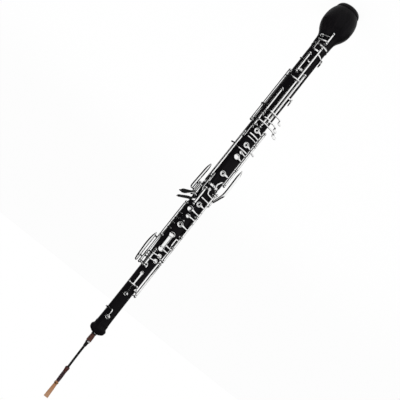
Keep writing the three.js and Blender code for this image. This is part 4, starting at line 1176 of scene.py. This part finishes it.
def add_floor():
    """A white floor that glows for the camera and in reflections, and still takes the shadow."""
    size, drop = 30, .0005
    floor = new_mesh_object("floor", [(x * size, y * size, 0) for x, y in SQUARE], [(0, 1, 2, 3)])
    floor.location.z = -drop
    m = plain_material("floor", .95, .95)
    glow = m.node("ShaderNodeEmission", {"Color": (1, 1, 1, 1), "Strength": 1.0})
    rays = m.node("ShaderNodeLightPath").outputs
    seen = m.join(rays["Is Camera Ray"], rays["Is Glossy Ray"], "MAXIMUM")
    share = m.join(seen, .94, "MULTIPLY")
    mix = m.node("ShaderNodeMixShader", {0: share, 1: m.shader.outputs[0], 2: glow.outputs[0]})
    m.tree.links.new(mix.outputs[0], m.tree.nodes["Material Output"].inputs["Surface"])
    floor.data.materials.append(m.owner)


def add_flags():
    """Dark cards around and above, as for any polished metal: they show only in its reflections."""
    near, distance, low, high, ceiling = .12, 3.0, -.05, 1.9, 3.4
    points, faces = [], []

    def add_band(start, stop, edges):
        """A band between two (radius, height) edges, from one azimuth to another."""
        first = len(points)
        for turn in range(start, stop + 1, 6):
            a = math.radians(turn)
            points.extend([(r * math.sin(a), -r * math.cos(a), z) for r, z in edges])
        faces.extend([(i, i + 2, i + 3, i + 1) for i in range(first, len(points) - 2, 2)])

    sides = [(20, 134), (168, 192), (224, 260)]
    for side in sides:
        add_band(*side, ((distance, low), (distance, high)))
    add_band(-100, 20, ((distance, .62), (distance, high)))
    for side in sides:
        add_band(*side, ((near, .001), (distance, .001)))
    faces.append(tuple(range(len(points), len(points) + 4)))
    points.extend([(x * ceiling, y * ceiling, high) for x, y in SQUARE])
    flags = new_mesh_object("flags", points, faces)
    flags.data.materials.append(plain_material("flags", .012, .9).owner)
    for ray in ("camera", "diffuse", "shadow", "transmission", "volume_scatter"):
        setattr(flags, "visible_" + ray, False)


def add_world():
    """Even white light, at full strength for the camera and in reflections."""
    world = bpy.data.worlds.new("studio")
    bpy.context.scene.world = world
    m = Nodes(world, "Background")
    rays = m.node("ShaderNodeLightPath").outputs
    seen = m.join(rays["Is Camera Ray"], rays["Is Glossy Ray"], "MAXIMUM")
    seen = m.join(seen, rays["Is Transmission Ray"], "MAXIMUM")
    m.set("Strength", m.span(seen, .7, 1.0))
    m.set("Color", (1, 1, 1, 1))


def add_light(name, place, aim, size, power):
    data = bpy.data.lights.new(name, "AREA")
    data.shape, data.size, data.size_y, data.energy = "RECTANGLE", size[0], size[1], power
    obj = new_object(name, data)
    obj.location = place
    obj.rotation_euler = (Vector(aim) - Vector(place)).to_track_quat("-Z", "Y").to_euler()
    obj.visible_glossy = False


def add_camera():
    """Level with the keys, a little above, and rolled so that the bell points up to the right."""
    pixel, pixels, distance, sensor = 1.82 * MM, 400, 1.6, 36
    elevation = math.radians(10)
    look = Vector((0, math.cos(elevation), -math.sin(elevation)))
    up = Vector((0, math.sin(elevation), math.cos(elevation)))
    side = look.cross(up)
    # How the instrument's long axis runs in the picture
    across, rise = -.620, -.784
    right = across * up + rise * side
    picture_up = rise * up - across * side
    middle = Vector((0, 0, .4735)) + pixel * (1.5 * right + 1.45 * picture_up)
    data = bpy.data.cameras.new("camera")
    data.sensor_width = sensor
    data.lens = sensor / (pixels * pixel / distance)
    data.clip_start, data.clip_end = .05, 50
    camera = new_object("camera", data)
    basis = Matrix((right, picture_up, -look)).transposed()
    camera.matrix_world = Matrix.Translation(middle - distance * look) @ basis.to_4x4()
    bpy.context.scene.camera = camera


make_pieces()
add_floor()
add_flags()
add_world()
add_light("key", (-1.5, -2.0, 1.9), (0, 0, .45), (1.4, 1.4), 26)
add_light("fill", (1.9, -1.4, .9), (0, 0, .45), (1.2, 1.6), 12)
add_light("back", (.3, 2.0, 1.8), (0, 0, .5), (1.6, 1.0), 14)
add_camera()
bpy.context.scene.view_settings.view_transform = "Standard"
